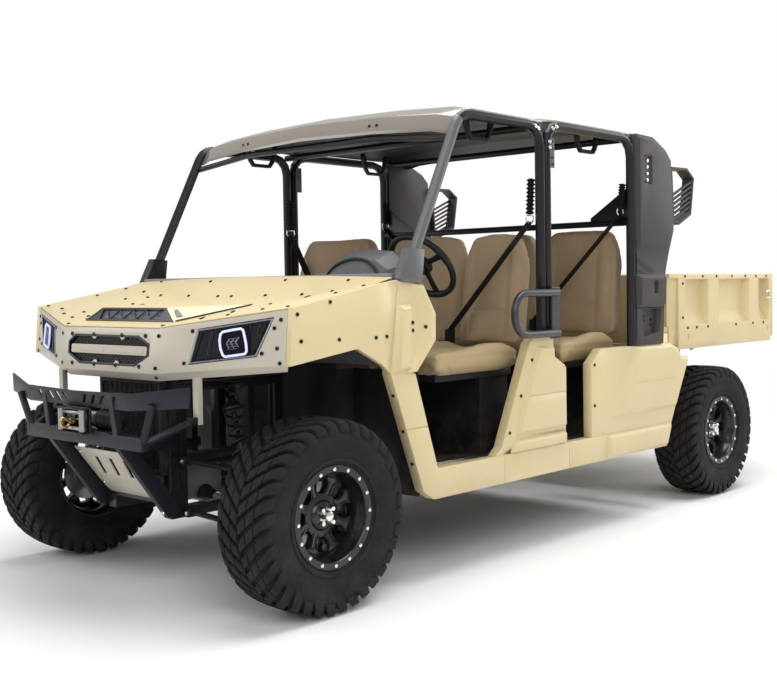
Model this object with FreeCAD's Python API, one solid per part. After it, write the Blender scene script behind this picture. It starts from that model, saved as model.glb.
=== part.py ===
"""Crew-cab utility terrain vehicle with a tilting bed, in millimetres.

+X is forward, +Y is the driver's left and +Z is up. The origin lies on the ground
under the middle of the vehicle. Stations ahead of or behind an axle are measured
from that axle, and a longer wheelbase stretches only the cab between them.
"""
import FreeCAD
import Part
import math
import os

# Driving dimensions
wheelbase = 2926.0
front_overhang = 560.0
rear_overhang = 870.0
track_width = 1524.0
body_half_width = 850.0
panel_depth = 46.0
sheet = 4.0

tyre_diameter = 711.2
tyre_width = 254.0
tread_depth = 13.0
lug_count = 18
rim_bead_diameter = 355.6
rim_lip_diameter = 376.0
rim_width = 216.0
rim_wall = 7.0
spoke_count = 8

steering_wheel_diameter = 350.0
steering_wheel_tilt = 38.0
steering_rim_radius = 14.0

cab_front = 566.0
cab_back = 900.0
cab_length = 1460.0

cage_tube_radius = 22.0
cage_inset = 10.0
cage_bend = 90.0
roof_side_height = 1888.0
rear_roof_rise = 12.0
roof_crown = 30.0

sill_bottom = 330.0
sill_top = 450.0

frame_half_width = 190.0
frame_rail_width = 50.0
frame_bottom = 350.0
frame_rail_height = 80.0
bay_rail_bottom = 300.0
bay_rail_height = 40.0
frame_tube = 40.0
shock_beam_front = 788.0

bed_inset = 75.0
bed_side_height = 406.0
bed_band_height = 123.0
bed_wall = 60.0
bed_board = 34.0
bed_pocket_depth = 50.0
bed_hinge_back = 700.0
bed_hinge_height = 770.0
bed_hinge_radius = 15.0

running_clearance = 0.05
seat_gap = 0.3
moving_gap = 6.0

# Derived stations and heights
overall_length = front_overhang + wheelbase + rear_overhang
front_axle = overall_length / 2 - front_overhang
rear_axle = front_axle - wheelbase
cab_stretch = (wheelbase - cab_front - cab_back) / cab_length
tyre_radius = tyre_diameter / 2
wheel_sectors = 2 * lug_count
axle_height = tyre_radius * math.cos(math.pi / wheel_sectors)
wheel_centre_y = track_width / 2
side_inner = body_half_width - panel_depth
frame_top = frame_bottom + frame_rail_height
frame_inner = frame_half_width - frame_rail_width / 2
frame_outer = frame_half_width + frame_rail_width / 2
floor_height = frame_top + seat_gap + sheet
roof_tube_z = roof_side_height - cage_tube_radius
cage_half_width = body_half_width - cage_inset
cage_inner = cage_half_width - cage_tube_radius
bed_half_width = body_half_width - bed_inset
bed_rail_top = bed_hinge_height + 18
bed_bottom = bed_rail_top + 24
bed_floor_height = bed_bottom + 26
bed_band_top = bed_bottom + bed_band_height
bed_top = bed_bottom + bed_side_height
shock_beam_rear = bed_rail_top - frame_tube


def vec(x, y, z):
    return FreeCAD.Vector(x, y, z)


def ahead(distance):
    """A station measured forward from the front axle, spread with the wheelbase inside the cab."""
    return front_axle + distance + min(0, distance + cab_front) * (cab_stretch - 1)


def astern(distance):
    """A station measured forward from the rear axle, spread with the wheelbase inside the cab."""
    return rear_axle + distance + max(0, distance - cab_back) * (cab_stretch - 1)


def placed(outline):
    """An outline given ahead of the front axle, put at its station."""
    return [(ahead(x), z) for x, z in outline]


def placed_astern(outline):
    """An outline given ahead of the rear axle, put at its station."""
    return [(astern(x), z) for x, z in outline]


def box(x_low, x_high, y_low, y_high, z_low, z_high):
    return Part.makeBox(x_high - x_low, y_high - y_low, z_high - z_low, vec(x_low, y_low, z_low))


def prism(outline, low, high, across="y"):
    """A plate from a flat outline, given as the two coordinates other than the one it runs across."""
    if across == "y":
        points = [vec(a, low, b) for a, b in outline]
        run = vec(0, high - low, 0)
    elif across == "z":
        points = [vec(a, b, low) for a, b in outline]
        run = vec(0, 0, high - low)
    else:
        points = [vec(low, a, b) for a, b in outline]
        run = vec(high - low, 0, 0)
    wire = Part.makePolygon(points + points[:1])
    return Part.Face(wire).extrude(run)


def rod(start, end, radius):
    start, end = vec(*start), vec(*end)
    return Part.makeCylinder(radius, (end - start).Length, start, end - start)


def regular_outline(radius, sides):
    turns = [2 * math.pi * index / sides for index in range(sides)]
    return [(radius * math.cos(turn), radius * math.sin(turn)) for turn in turns]


def ring_about(centre, along, radius, sides):
    """Corners of a regular outline about a point, square to a direction."""
    aside = along.cross(vec(0, 0, 1))
    if aside.Length < 1e-6:
        aside = vec(0, 1, 0)
    aside.normalize()
    up = aside.cross(along).normalize()
    return [centre + aside * a + up * b for a, b in regular_outline(radius, sides)]


def flat(corners):
    return Part.Face(Part.makePolygon(list(corners) + [corners[0]]))


def skinned(rings, closed=False):
    """The solid inside a row of like rings of corners, closed on itself or by flat ends."""
    faces = [] if closed else [flat(rings[0]), flat(rings[-1])]
    for near, far in zip(rings, rings[1:] + (rings[:1] if closed else [])):
        for index in range(len(near)):
            after = (index + 1) % len(near)
            faces.append(flat([near[index], near[after], far[after], far[index]]))
    return outward(faces)


def bar(start, end, radius, sides=8):
    """A straight bar with flat facets round it."""
    start, end = vec(*start), vec(*end)
    along = (end - start).normalize()
    return skinned([ring_about(point, along, radius, sides) for point in (start, end)])


def bore(start, end, radius, sides=8):
    """A faceted hole in which a bar of this radius still turns."""
    return bar(start, end, (radius + running_clearance) / math.cos(math.pi / sides), sides)


def pipe(points, radius, bend, steps=3, sides=8):
    """A faceted tube along straight runs, its corners rounded in a few steps."""
    points = [vec(*point) for point in points]
    path = [points[0]]
    for before, corner, after in zip(points, points[1:], points[2:]):
        back = (before - corner).normalize()
        forth = (after - corner).normalize()
        turn = math.pi - back.getAngle(forth)
        entry = corner + back * (bend * math.tan(turn / 2))
        centre = corner + (back + forth).normalize() * (bend / math.cos(turn / 2))
        for index in range(steps + 1):
            swing = FreeCAD.Rotation(forth.cross(back), math.degrees(turn) * index / steps)
            path.append(centre + swing.multVec(entry - centre))
    path.append(points[-1])
    rings = [ring_about(path[0], (path[1] - path[0]).normalize(), radius, sides)]
    for index in range(1, len(path)):
        along = (path[index] - path[index - 1]).normalize()
        onward = (path[index + 1] - path[index]).normalize() if index + 1 < len(path) else along
        mitre = along + onward
        rings.append([corner + along * ((path[index] - corner).dot(mitre) / along.dot(mitre))
                      for corner in rings[-1]])
    return skinned(rings)


def mirror(shape):
    return shape.mirror(vec(0, 0, 0), vec(0, 1, 0))


def both_sides(shapes):
    return shapes + [mirror(shape) for shape in shapes]


def join(shapes):
    whole = shapes[0]
    for shape in shapes[1:]:
        whole = whole.fuse(shape)
    return whole.removeSplitter()


def outward(faces):
    """The solid that closed faces enclose, with its material inside."""
    solid = Part.makeSolid(Part.makeShell(faces))
    if solid.Volume < 0:
        solid.reverse()
    return solid


def faceted_panel(rows, thickness):
    """A pressed panel of flat facets over rows of points, thickened along one vector."""
    drop = vec(*thickness)
    top = [[vec(*point) for point in row] for row in rows]
    low = [[point + drop for point in row] for row in top]
    faces = []

    def facet(*corners):
        faces.append(Part.Face(Part.makePolygon(list(corners) + [corners[0]])))

    for sheet_rows in (top, low):
        for near, far in zip(sheet_rows, sheet_rows[1:]):
            for index in range(len(near) - 1):
                facet(near[index], near[index + 1], far[index + 1])
                facet(near[index], far[index + 1], far[index])
    rim_top = top[0] + [row[-1] for row in top[1:]] + top[-1][-2::-1] + [row[0] for row in top[-2:0:-1]]
    rim_low = low[0] + [row[-1] for row in low[1:]] + low[-1][-2::-1] + [row[0] for row in low[-2:0:-1]]
    for index in range(len(rim_top)):
        following = (index + 1) % len(rim_top)
        facet(rim_top[index], rim_top[following], rim_low[following])
        facet(rim_top[index], rim_low[following], rim_low[index])
    return outward(faces)


def drawn(rings):
    """The solid over a row of like outlines, with its sides in triangles."""
    faces = [flat(rings[0]), flat(rings[-1])]
    for near, far in zip(rings, rings[1:]):
        for index in range(len(near)):
            after = (index + 1) % len(near)
            faces.append(flat([near[index], near[after], far[after]]))
            faces.append(flat([near[index], far[after], far[index]]))
    return outward(faces)


def raised(foot, head, foot_y, head_y):
    """A boss on a side panel, from an outline at its foot to a smaller one at its face."""
    return drawn([[vec(x, foot_y, z) for x, z in foot], [vec(x, head_y, z) for x, z in head]])


def across_both(half_rows):
    """Rows given from the middle outward, continued to the other side."""
    return [[(x, -y, z) for x, y, z in reversed(row[1:])] + list(row) for row in half_rows]


def turned(outline, sides=wheel_sectors):
    """A faceted ring about the Y axis from (y, radius) points."""
    rings = []
    for index in range(sides):
        turn = 2 * math.pi * (index + 0.5) / sides
        rings.append([vec(radius * math.sin(turn), y, radius * math.cos(turn)) for y, radius in outline])
    return skinned(rings, closed=True)


# Wheels, built about the origin with the outer side towards +Y
rim_shelf = 12.0
rim_sectors = 16


def tyre():
    """A carcass with lugs staggered from side to side, in two sectors to each lug's pitch."""
    carcass = tyre_radius - tread_depth
    half = tyre_width / 2
    bead = rim_bead_diameter / 2 + seat_gap
    bead_y = rim_width / 2 - rim_shelf - 2 * seat_gap
    shoulder = carcass - 26
    groove = 9.0
    # y offset, radius: the inner wall, then the outer wall from bead to shoulder, then the crown
    liner = [(half - 30, carcass - 34), (bead_y - 14, bead)]
    wall = [(bead_y, bead), (half, bead + 70), (half - 8, shoulder)]
    crown = [(half - 34, carcass), (groove, carcass)]
    lug = [(half - 8, shoulder), (half - 2, tyre_radius - 34), (half - 24, tyre_radius),
           (groove, tyre_radius), (groove, carcass), (half - 34, carcass)]
    right = liner + wall + crown
    outline = right + [(-y, radius) for y, radius in reversed(right)]

    def at_sector(points, sector, side):
        turn = 2 * math.pi * (sector + 0.5) / wheel_sectors
        return [vec(radius * math.sin(turn), side * y, radius * math.cos(turn)) for y, radius in points]

    faces = []
    for sector in range(wheel_sectors):
        side = 1 if sector % 2 else -1
        near, far = at_sector(outline, sector, side), at_sector(outline, sector + 1, side)
        covered = (len(liner) + len(wall) - 1, len(liner) + len(wall))
        for index in range(len(outline)):
            if index in covered:
                continue
            after = (index + 1) % len(outline)
            faces.append(flat([near[index], near[after], far[after], far[index]]))
        near, far = at_sector(lug, sector, side), at_sector(lug, sector + 1, side)
        faces += [flat(near), flat(far)]
        for index in range(4):
            faces.append(flat([near[index], near[index + 1], far[index + 1], far[index]]))
    return outward(faces)


spindle_radius = 22.0
disc_offset = 34.0
hub_reach = 118.0
hub_sides = 12
spindle_room = (spindle_radius + running_clearance) / math.cos(math.pi / hub_sides)


def rim():
    half = rim_width / 2
    # the corners of a faceted bead stay inside the flats of the tyre's
    bead = (rim_bead_diameter / 2 + seat_gap) * math.cos(math.pi / wheel_sectors) - seat_gap
    lip = rim_lip_diameter / 2
    inner = bead - rim_wall
    # y offset, radius
    barrel = turned([(-half, lip), (-half, inner), (half, inner), (half, lip), (half - rim_shelf, bead),
                     (-half + rim_shelf, bead)], sides=rim_sectors)
    disc_y = half - disc_offset
    root = inner * math.cos(math.pi / rim_sectors) + 2
    spoke = prism([(-17, 36), (17, 36), (14, 100), (30, root), (-30, root), (-14, 100)],
                  disc_y - 22, disc_y - 4)
    spokes = []
    for index in range(spoke_count):
        arm = spoke.copy()
        arm.rotate(vec(0, 0, 0), vec(0, 1, 0), index * 360 / spoke_count)
        spokes.append(arm)
    hub = turned([(disc_y - hub_reach, spindle_room), (disc_y - hub_reach, 48), (disc_y - 6, 48),
                  (disc_y + 18, 30), (disc_y + 18, 8), (disc_y - 6, 8), (disc_y - 6, spindle_room)],
                 sides=hub_sides)
    cap = bar((0, disc_y + 4, 0), (0, disc_y + 18, 0), 16, hub_sides)
    return join([barrel, hub, cap] + spokes)


def placed_wheel(shape, station, side):
    wheel = shape.copy()
    if side < 0:
        wheel = wheel.mirror(vec(0, 0, 0), vec(0, 1, 0))
    wheel.translate(vec(station, side * wheel_centre_y, axle_height))
    return wheel


# Uprights and their arms
kingpin_y = 618.0
kingpin_radius = 9.0
upright_bottom = axle_height - 96.0
upright_top = axle_height + 100.0
arm_eye_height = 26.0
spindle_flange_y = wheel_centre_y + rim_width / 2 - disc_offset - hub_reach - 3
spindle_end_y = wheel_centre_y + rim_width / 2 - disc_offset - 10


def upright(station):
    pillar = prism([(kingpin_y - 22, upright_bottom), (kingpin_y + 14, upright_bottom),
                    (spindle_flange_y - 4, axle_height - 44), (spindle_flange_y - 4, axle_height + 44),
                    (kingpin_y + 14, upright_top), (kingpin_y - 22, upright_top)],
                   station - 24, station + 24, across="x")
    flange = bar((station, spindle_flange_y - 30, axle_height), (station, spindle_flange_y, axle_height), 46)
    spindle = bar((station, spindle_flange_y - 10, axle_height), (station, spindle_end_y, axle_height),
                  spindle_radius, hub_sides)
    pin = bar((station, kingpin_y, upright_bottom - arm_eye_height),
              (station, kingpin_y, upright_top + arm_eye_height), kingpin_radius)
    caliper = box(station - 96, station - 24, spindle_flange_y - 34, spindle_flange_y - 3,
                  axle_height - 20, axle_height + 60)
    arm = box(station - 104, station - 20, kingpin_y - 16, kingpin_y + 16, axle_height - 62, axle_height - 44)
    return join([pillar, flange, spindle, pin, caliper, arm])


arm_tube_radius = 12.0
arm_bush_radius = 20.0
arm_pivot_y = frame_outer + arm_bush_radius + seat_gap
brace_radius = 9.0
# name: pivot spread along x, pivot height, eye height, brace's share of the way out
arm_levels = {
    "lower": (150.0, bay_rail_bottom + 20, upright_bottom - seat_gap - arm_eye_height / 2, 0.6),
    "upper": (165.0, 520.0, upright_top + seat_gap + arm_eye_height / 2, 0.12),
}


def brace_place(level):
    """Half length, y and z of an arm's cross brace."""
    spread, pivot_z, eye_z, share = arm_levels[level]
    out, up = kingpin_y - arm_pivot_y, eye_z - pivot_z
    return spread * (1 - share), arm_pivot_y + out * share, pivot_z + up * share


def control_arm(station, level):
    spread, pivot_z, eye_z, share = arm_levels[level]
    eye = (station, kingpin_y, eye_z)
    half = arm_eye_height / 2
    boss = bar((station, kingpin_y, eye_z - half), (station, kingpin_y, eye_z + half), 24)
    legs = [bar((station + side * spread, arm_pivot_y, pivot_z), eye, arm_tube_radius, 4) for side in (1, -1)]
    reach, brace_y, brace_z = brace_place(level)
    brace = bar((station - reach, brace_y, brace_z), (station + reach, brace_y, brace_z), brace_radius, 4)
    bushes = []
    for middle in (station + spread, station - spread):
        bushes.append(bar((middle - 24, arm_pivot_y, pivot_z), (middle + 24, arm_pivot_y, pivot_z),
                          arm_bush_radius, 6))
    hole = bore((station, kingpin_y, eye_z - half), (station, kingpin_y, eye_z + half), kingpin_radius)
    arm = join([boss, brace] + legs + bushes).cut(hole)
    low, high = (half, half + 40) if level == "lower" else (-half - 40, -half)
    return arm.cut(box(station - 70, station + 70, kingpin_y - 70, kingpin_y + 70, eye_z + low, eye_z + high))


def suspension_arms():
    arms = []
    for station in (front_axle, rear_axle):
        for level in ("lower", "upper"):
            arms.append(control_arm(station, level))
    return both_sides(arms)


shock_eye_radius = 17.0
shock_coil_radius = 36.0
shock_top_y = 330.0
shock_offset = 30.0


def shock_absorbers():
    parts = []
    reach, low_y, brace_z = brace_place("lower")
    for axle, beam in ((front_axle, shock_beam_front), (rear_axle, shock_beam_rear)):
        station = axle + shock_offset
        low = (station, low_y, brace_z + brace_radius + shock_eye_radius + seat_gap)
        high = (station, shock_top_y, beam - shock_eye_radius - seat_gap)
        axis = (vec(*high) - vec(*low)).normalize()
        coil_low = vec(*low) + axis * 112
        coil_high = vec(*high) - axis * 60
        parts.append(join([
            bar(low, high, 14, 6),
            bar(tuple(coil_low), tuple(coil_high), shock_coil_radius),
            bar((station - 20, low[1], low[2]), (station + 20, low[1], low[2]), shock_eye_radius),
            bar((station - 20, high[1], high[2]), (station + 20, high[1], high[2]), shock_eye_radius),
        ]))
    return both_sides(parts)


# Frame, floor and running gear
bed_rail_half = 250.0
front_bay = (-330.0, 225.0)
rear_bay = (-300.0, 360.0)


def bay_side(axle, back, front, top_low, top_high, upper_pivot_z):
    """One side of the frame round an axle: bottom rail, end posts, pivot posts and top rail."""
    low = bay_rail_bottom
    pieces = [box(axle + back, axle + front, frame_inner, frame_outer, low, low + bay_rail_height),
              box(axle + back, axle + front, frame_inner, frame_outer, top_low, top_high)]
    for post in (back, front - frame_tube):
        pieces.append(box(axle + post, axle + post + frame_tube, frame_inner, frame_outer, low, top_high))
    spread = arm_levels["upper"][0]
    pieces.append(box(axle - spread - 30, axle + spread + 30, frame_inner, frame_outer, upper_pivot_z - 20,
                      upper_pivot_z + 20))
    for post in (-spread, spread):
        pieces.append(box(axle + post - 14, axle + post + 14, frame_inner, frame_outer, low, top_high))
    return pieces


def chassis_frame():
    upper_pivot_z = arm_levels["upper"][1]
    side = bay_side(front_axle, front_bay[0], front_bay[1], shock_beam_front - 8, shock_beam_front + 24,
                    upper_pivot_z)
    side += bay_side(rear_axle, rear_bay[0], rear_bay[1], bed_rail_top - frame_tube, bed_rail_top,
                     upper_pivot_z)
    side.append(box(astern(rear_bay[1] - frame_tube), ahead(front_bay[0] + frame_tube), frame_inner,
                    frame_outer, frame_bottom, frame_top))
    # tail: the bed's rails, their struts and the bottom rails that carry the hitch
    side.append(box(astern(-735), astern(rear_bay[1]), frame_inner, frame_outer, bed_rail_top - frame_tube,
                    bed_rail_top - 6))
    side.append(box(astern(-560), astern(rear_bay[0]), frame_inner, frame_outer, bay_rail_bottom,
                    bay_rail_bottom + bay_rail_height))
    side.append(prism([(astern(-560), bay_rail_bottom), (astern(-520), bay_rail_bottom),
                       (astern(-690), bed_rail_top - frame_tube), (astern(-730), bed_rail_top - frame_tube)],
                      frame_inner, frame_outer))
    side.append(box(ahead(front_bay[1] - frame_tube), ahead(front_bay[1]), frame_inner, frame_outer,
                    shock_beam_front, shock_beam_front + 58))
    cross = []
    # middle station, low and high z, half width
    bars = [(ahead(-310), frame_bottom + 10, frame_bottom + 50, frame_inner),
            (ahead(-1450), frame_bottom + 10, frame_bottom + 50, frame_inner),
            (astern(1120), frame_bottom + 10, frame_bottom + 50, frame_inner),
            (astern(340), bed_rail_top - frame_tube, bed_rail_top, bed_rail_half + 40),
            (astern(-280), bed_rail_top - frame_tube, bed_rail_top, bed_rail_half + 40),
            (front_axle, shock_beam_front, shock_beam_front + 24, shock_top_y + 24),
            (rear_axle, shock_beam_rear, shock_beam_rear + 24, shock_top_y + 24),
            (ahead(205), bay_rail_bottom + 52, bay_rail_bottom + 92, frame_inner),
            (ahead(-310), bay_rail_bottom, bay_rail_bottom + bay_rail_height, frame_inner),
            (astern(340), bay_rail_bottom, bay_rail_bottom + bay_rail_height, frame_inner),
            (astern(-540), bay_rail_bottom, bay_rail_bottom + bay_rail_height, frame_inner)]
    for middle, low, high, reach in bars:
        cross.append(box(middle - frame_tube / 2, middle + frame_tube / 2, -reach, reach, low, high))
    outriggers = []
    for station in (ahead(-560), ahead(-1450), astern(1120), astern(560)):
        outriggers.append(box(station - 20, station + 20, frame_outer, side_inner - seat_gap,
                              frame_bottom + 20, frame_bottom + 60))
    hinge = bar((astern(-bed_hinge_back), -bed_rail_half - 80, bed_hinge_height),
                (astern(-bed_hinge_back), bed_rail_half + 80, bed_hinge_height), bed_hinge_radius)
    return [join(both_sides(side + outriggers) + cross + [hinge])]


def floor_pan():
    edge = side_inner - seat_gap
    front = ahead(-524)
    back = astern(700)
    plate = box(back, front, -edge, edge, floor_height - sheet, floor_height)
    toe_reach = 440.0
    scuttle = ahead(-430)
    toe = prism([(front, floor_height - sheet), (front, floor_height), (scuttle, 640), (scuttle, 860),
                 (scuttle + sheet, 860), (scuttle + sheet, 636), (front + sheet, floor_height - sheet)],
                -toe_reach, toe_reach)
    wings = both_sides([box(front, front + sheet, toe_reach, edge, floor_height - sheet, 838),
                        box(front, front + sheet, frame_outer + seat_gap, edge, sill_bottom + 10,
                            floor_height),
                        prism([(front, floor_height), (scuttle + sheet, 640), (scuttle + sheet, 838),
                               (front, 838)], toe_reach, toe_reach + sheet)])
    wall = box(back, back + sheet, -edge + 60, edge - 60, floor_height - sheet, 769)
    return [join([plate, toe, wall] + wings)]


def skid_plate():
    foot = front_bay[1] + seat_gap
    # ahead of the axle, z
    profile = [(379, 566), (385, 566), (250, 390), (foot, 366), (foot, 375), (245, 396)]
    plate = prism([(ahead(x), z) for x, z in profile], -200, 200)
    slots = []
    for centre in (-95, 0, 95):
        slots.append(prism([(centre - 38, 455), (centre - 12, 455), (centre + 20, 530), (centre - 6, 530)],
                           ahead(240), ahead(420), across="x"))
    return [plate.cut(Part.makeCompound(slots))]


def radiator():
    face = front_bay[1] + seat_gap
    return [box(ahead(face), ahead(face + 36), -frame_outer + 10, frame_outer - 10, 470, 834)]


def engine_block():
    return [box(astern(110), astern(rear_bay[1] - frame_tube - seat_gap), -frame_inner + seat_gap,
                frame_inner - seat_gap, 345, 700)]


half_shaft_gap = 40.0


def driveline():
    """Both final drives between the bay rails, each with its two half shafts."""
    parts = []
    for station in (front_axle, rear_axle):
        case = box(station - 90, station + 90, -110, 110, bay_rail_bottom + bay_rail_height + seat_gap, 500)
        ears = box(station - 60, station + 60, -frame_outer + 5, frame_outer - 5,
                   bay_rail_bottom + bay_rail_height + seat_gap, bay_rail_bottom + bay_rail_height + 8)
        reach = kingpin_y - half_shaft_gap
        shaft = bar((station, -reach, axle_height), (station, reach, axle_height), 13)
        parts.append(join([case, ears, shaft]))
    return parts


def exhaust():
    reach = frame_inner - seat_gap
    return [bar((astern(-360), -reach, 640), (astern(-360), reach, 640), 62, 16)]


# Front body
hood_edge = body_half_width - 24
nose_rows_half = [
    # ahead of the axle, y, z: upper edge, lower edge, tucked lip
    [(342, 0, 1030), (342, 321, 1030), (162, hood_edge, 1098)],
    [(359, 0, 866), (359, 310, 866), (180, hood_edge, 906)],
    [(330, 0, 838), (330, 304, 838), (160, hood_edge - 26, 880)],
]


def placed_rows(rows):
    return [[(ahead(x), y, z) for x, y, z in row] for row in rows]


nose_thickness = 16.0
nose_strap_y = 456.0
nose_strap_low = 684.0
grille_outline = [(-232, 1004), (204, 1004), (277, 975), (277, 930), (190, 888), (-190, 888), (-277, 926),
                  (-277, 975)]
lamp_outline = [(482, 1030), (hood_edge - 47, 1072), (hood_edge - 107, 933), (449, 901)]


def nose_panel():
    """The faceted nose with its openings, and the two straps that hang from its lip."""
    panel = faceted_panel(across_both(placed_rows(nose_rows_half)), (-nose_thickness, 0, 0))
    opening = prism(grille_outline, ahead(250), ahead(420), across="x")
    lamp = prism(lamp_outline, ahead(100), ahead(420), across="x")
    panel = panel.cut(Part.makeCompound([opening, lamp, mirror(lamp)]))
    strap = box(ahead(262), ahead(284), nose_strap_y - 14, nose_strap_y + 14, nose_strap_low, 856)
    return [join([panel, strap, mirror(strap)])]


def lamp_sheet(depth_front, depth_back, inset):
    """The lamp window's shape between two depths behind the nose panel's outer face."""
    middle_y = sum(y for y, z in lamp_outline) / len(lamp_outline)
    middle_z = sum(z for y, z in lamp_outline) / len(lamp_outline)
    shrunk = []
    for y, z in lamp_outline:
        reach = math.hypot(y - middle_y, z - middle_z)
        share = 1 - inset / reach
        shrunk.append((middle_y + (y - middle_y) * share, middle_z + (z - middle_z) * share))
    body = prism(shrunk, ahead(60), ahead(420), across="x")
    rows = placed_rows(nose_rows_half[:2])
    front = [[(x - depth_front, y, z) for x, y, z in row[1:]] for row in rows]
    slab = faceted_panel(front, (depth_front - depth_back, 0, 0))
    return body.common(slab)


def headlamps():
    return both_sides([lamp_sheet(5, 60, 1.2)])


def grille():
    """The dark plate behind the nose opening and the plain bar across it."""
    behind = nose_thickness + seat_gap
    upper, lower = nose_rows_half[0], nose_rows_half[1]
    slope = (lower[0][0] - upper[0][0]) / (upper[0][2] - lower[0][2])

    def face_x(z):
        return upper[0][0] + (upper[0][2] - z) * slope

    rows = [[(face_x(z) - behind, 0, z), (face_x(z) - behind, 300, z)] for z in (1024, 872)]
    backing = faceted_panel(across_both(placed_rows(rows)), (-8, 0, 0))
    bar_rows = [[(face_x(z) - 4, 0, z), (face_x(z) - 4, 254, z)] for z in (960, 932)]
    bar = faceted_panel(across_both(placed_rows(bar_rows)), (-behind + 3, 0, 0))
    return [join([backing, bar])]


hood_rows_half = [
    [(341, 0, 1036), (341, 321, 1036), (160, hood_edge, 1104)],
    [(-195, 0, 1131), (-195, 489, 1131), (-250, hood_edge, 1180)],
    [(-361, 0, 1222), (-361, 470, 1218), (-361, hood_edge, 1208)],
]
hood_thickness = 5.0


def hood():
    return [faceted_panel(across_both(placed_rows(hood_rows_half)), (0, 0, -hood_thickness))]


scoop_cells = 4
scoop_pitch = 90.0


def hood_scoop():
    """A low wedge on the hood's middle facet, its mouth braced by a row of slanted bars."""
    front, middle = hood_rows_half[0][0], hood_rows_half[1][0]
    slope = (middle[2] - front[2]) / (front[0] - middle[0])

    def on_hood(x):
        return front[2] + (front[0] - x) * slope + seat_gap

    # ahead of the axle, half width, z
    foot, rim, tail = (258, 300, on_hood(258)), (228, 215, 1100), (-60, 360, on_hood(-60))
    left, right = [[vec(ahead(x), side * y, z) for x, y, z in (foot, rim, tail)] for side in (1, -1)]
    outlines = [(left[0], left[1], right[1], right[0]), (left[1], left[2], right[2], right[1]),
                (left[0], left[2], left[1]), (right[0], right[1], right[2]),
                (left[0], right[0], right[2], left[2])]
    wedge = outward([flat(points) for points in outlines])
    low, high = foot[2] + 7, rim[2] - 8
    cells = []
    for index in range(-scoop_cells, scoop_cells):
        at = index * scoop_pitch / 2
        tip, base = (high, low) if index % 2 else (low, high)
        outline = [(at + 5, base), (at + scoop_pitch - 5, base), (at + scoop_pitch / 2, tip)]
        cells.append(prism(outline, ahead(200), ahead(270), across="x"))
    return [wedge.cut(Part.makeCompound(cells))]


fender_inner = hood_edge + 0.5


def side_plate(outline, inner=side_inner, outer=body_half_width):
    return prism(outline, inner, outer)


seam_depth = 2.5


def seam(station, low, high, face_y):
    """The cut between two covers that meet on a side face."""
    return box(station - 1.5, station + 1.5, face_y - seam_depth, face_y + 30, low, high)


def front_fenders():
    # ahead of the axle, z
    outline = [(177, 901), (160, 1104), (-250, 1180), (-366, 1196), (-321, 843), (-279, 879), (-150, 946)]
    return both_sides([side_plate(placed(outline), inner=fender_inner)])


pod_corner = (-483, 1182)


def cowl_pods():
    """Moulded covers at the front door posts: a lip on the door side, a well and a tapered block in it."""
    # ahead of the axle, z
    outline = [(-367, 1192), pod_corner, (-561, 1066), (-559, 958), (-440, 837), (-321, 843)]
    lip_foot = [(-483, 1181), (-560, 1066), (-558, 958), (-441, 838), (-400, 841), (-485, 972), (-485, 1070),
                (-440, 1183)]
    lip_face = [(-487, 1174), (-555, 1064), (-553, 961), (-444, 845), (-430, 847), (-529, 975), (-529, 1072),
                (-472, 1174)]
    block_foot = [(-358, 1102), (-440, 1108), (-455, 854), (-330, 848)]
    block_face = [(-378, 1084), (-415, 1088), (-405, 864), (-352, 862)]
    well = side_plate(placed(outline))
    face_y = body_half_width + 22
    lip = raised(placed(lip_foot), placed(lip_face), body_half_width - 2, face_y)
    block = raised(placed(block_foot), placed(block_face), body_half_width - 2, face_y)
    cover = join([well, lip, block])
    cover.translate(vec(-seat_gap, 0, 0))
    return both_sides([cover])


def body_sills():
    """The slanted front leg and the sill to the rear wheel, in covers parted by seams."""
    # ahead of the axle, z: slanted leg and its foot
    leg = side_plate(placed([(-321, 843 - seat_gap), (-458, 836 - seat_gap), (-582, sill_top),
                             (-560, sill_bottom), (-496, 369)]))
    sill = side_plate([(ahead(-560), sill_bottom), (ahead(-582), sill_top), (astern(1124), sill_top),
                       (astern(1124), sill_bottom)])
    rear = side_plate([(astern(1124), sill_bottom), (astern(1124), sill_top), (astern(506), sill_top),
                       (astern(556), sill_bottom)])
    high, low = sill_top - 6, sill_bottom + 6
    skirt_foot = [(1116, high), (516, high), (562, low), (1116, low)]
    skirt_face = [(1104, high - 12), (532, high - 12), (568, low + 10), (1104, low + 10)]
    skirt = raised(placed_astern(skirt_foot), placed_astern(skirt_face), body_half_width - 2,
                   body_half_width + 14)
    seams = [seam(station, sill_bottom - 1, sill_top + 1, body_half_width)
             for station in (ahead(-1010), ahead(-1489), astern(1124))]
    seams.append(box(ahead(-560), ahead(-380), body_half_width - seam_depth, body_half_width + 1, 621, 624))
    return both_sides([join([leg, sill, rear, skirt]).cut(Part.makeCompound(seams))])


post_top = ((-1237, 950), (-1370, 945))


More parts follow.
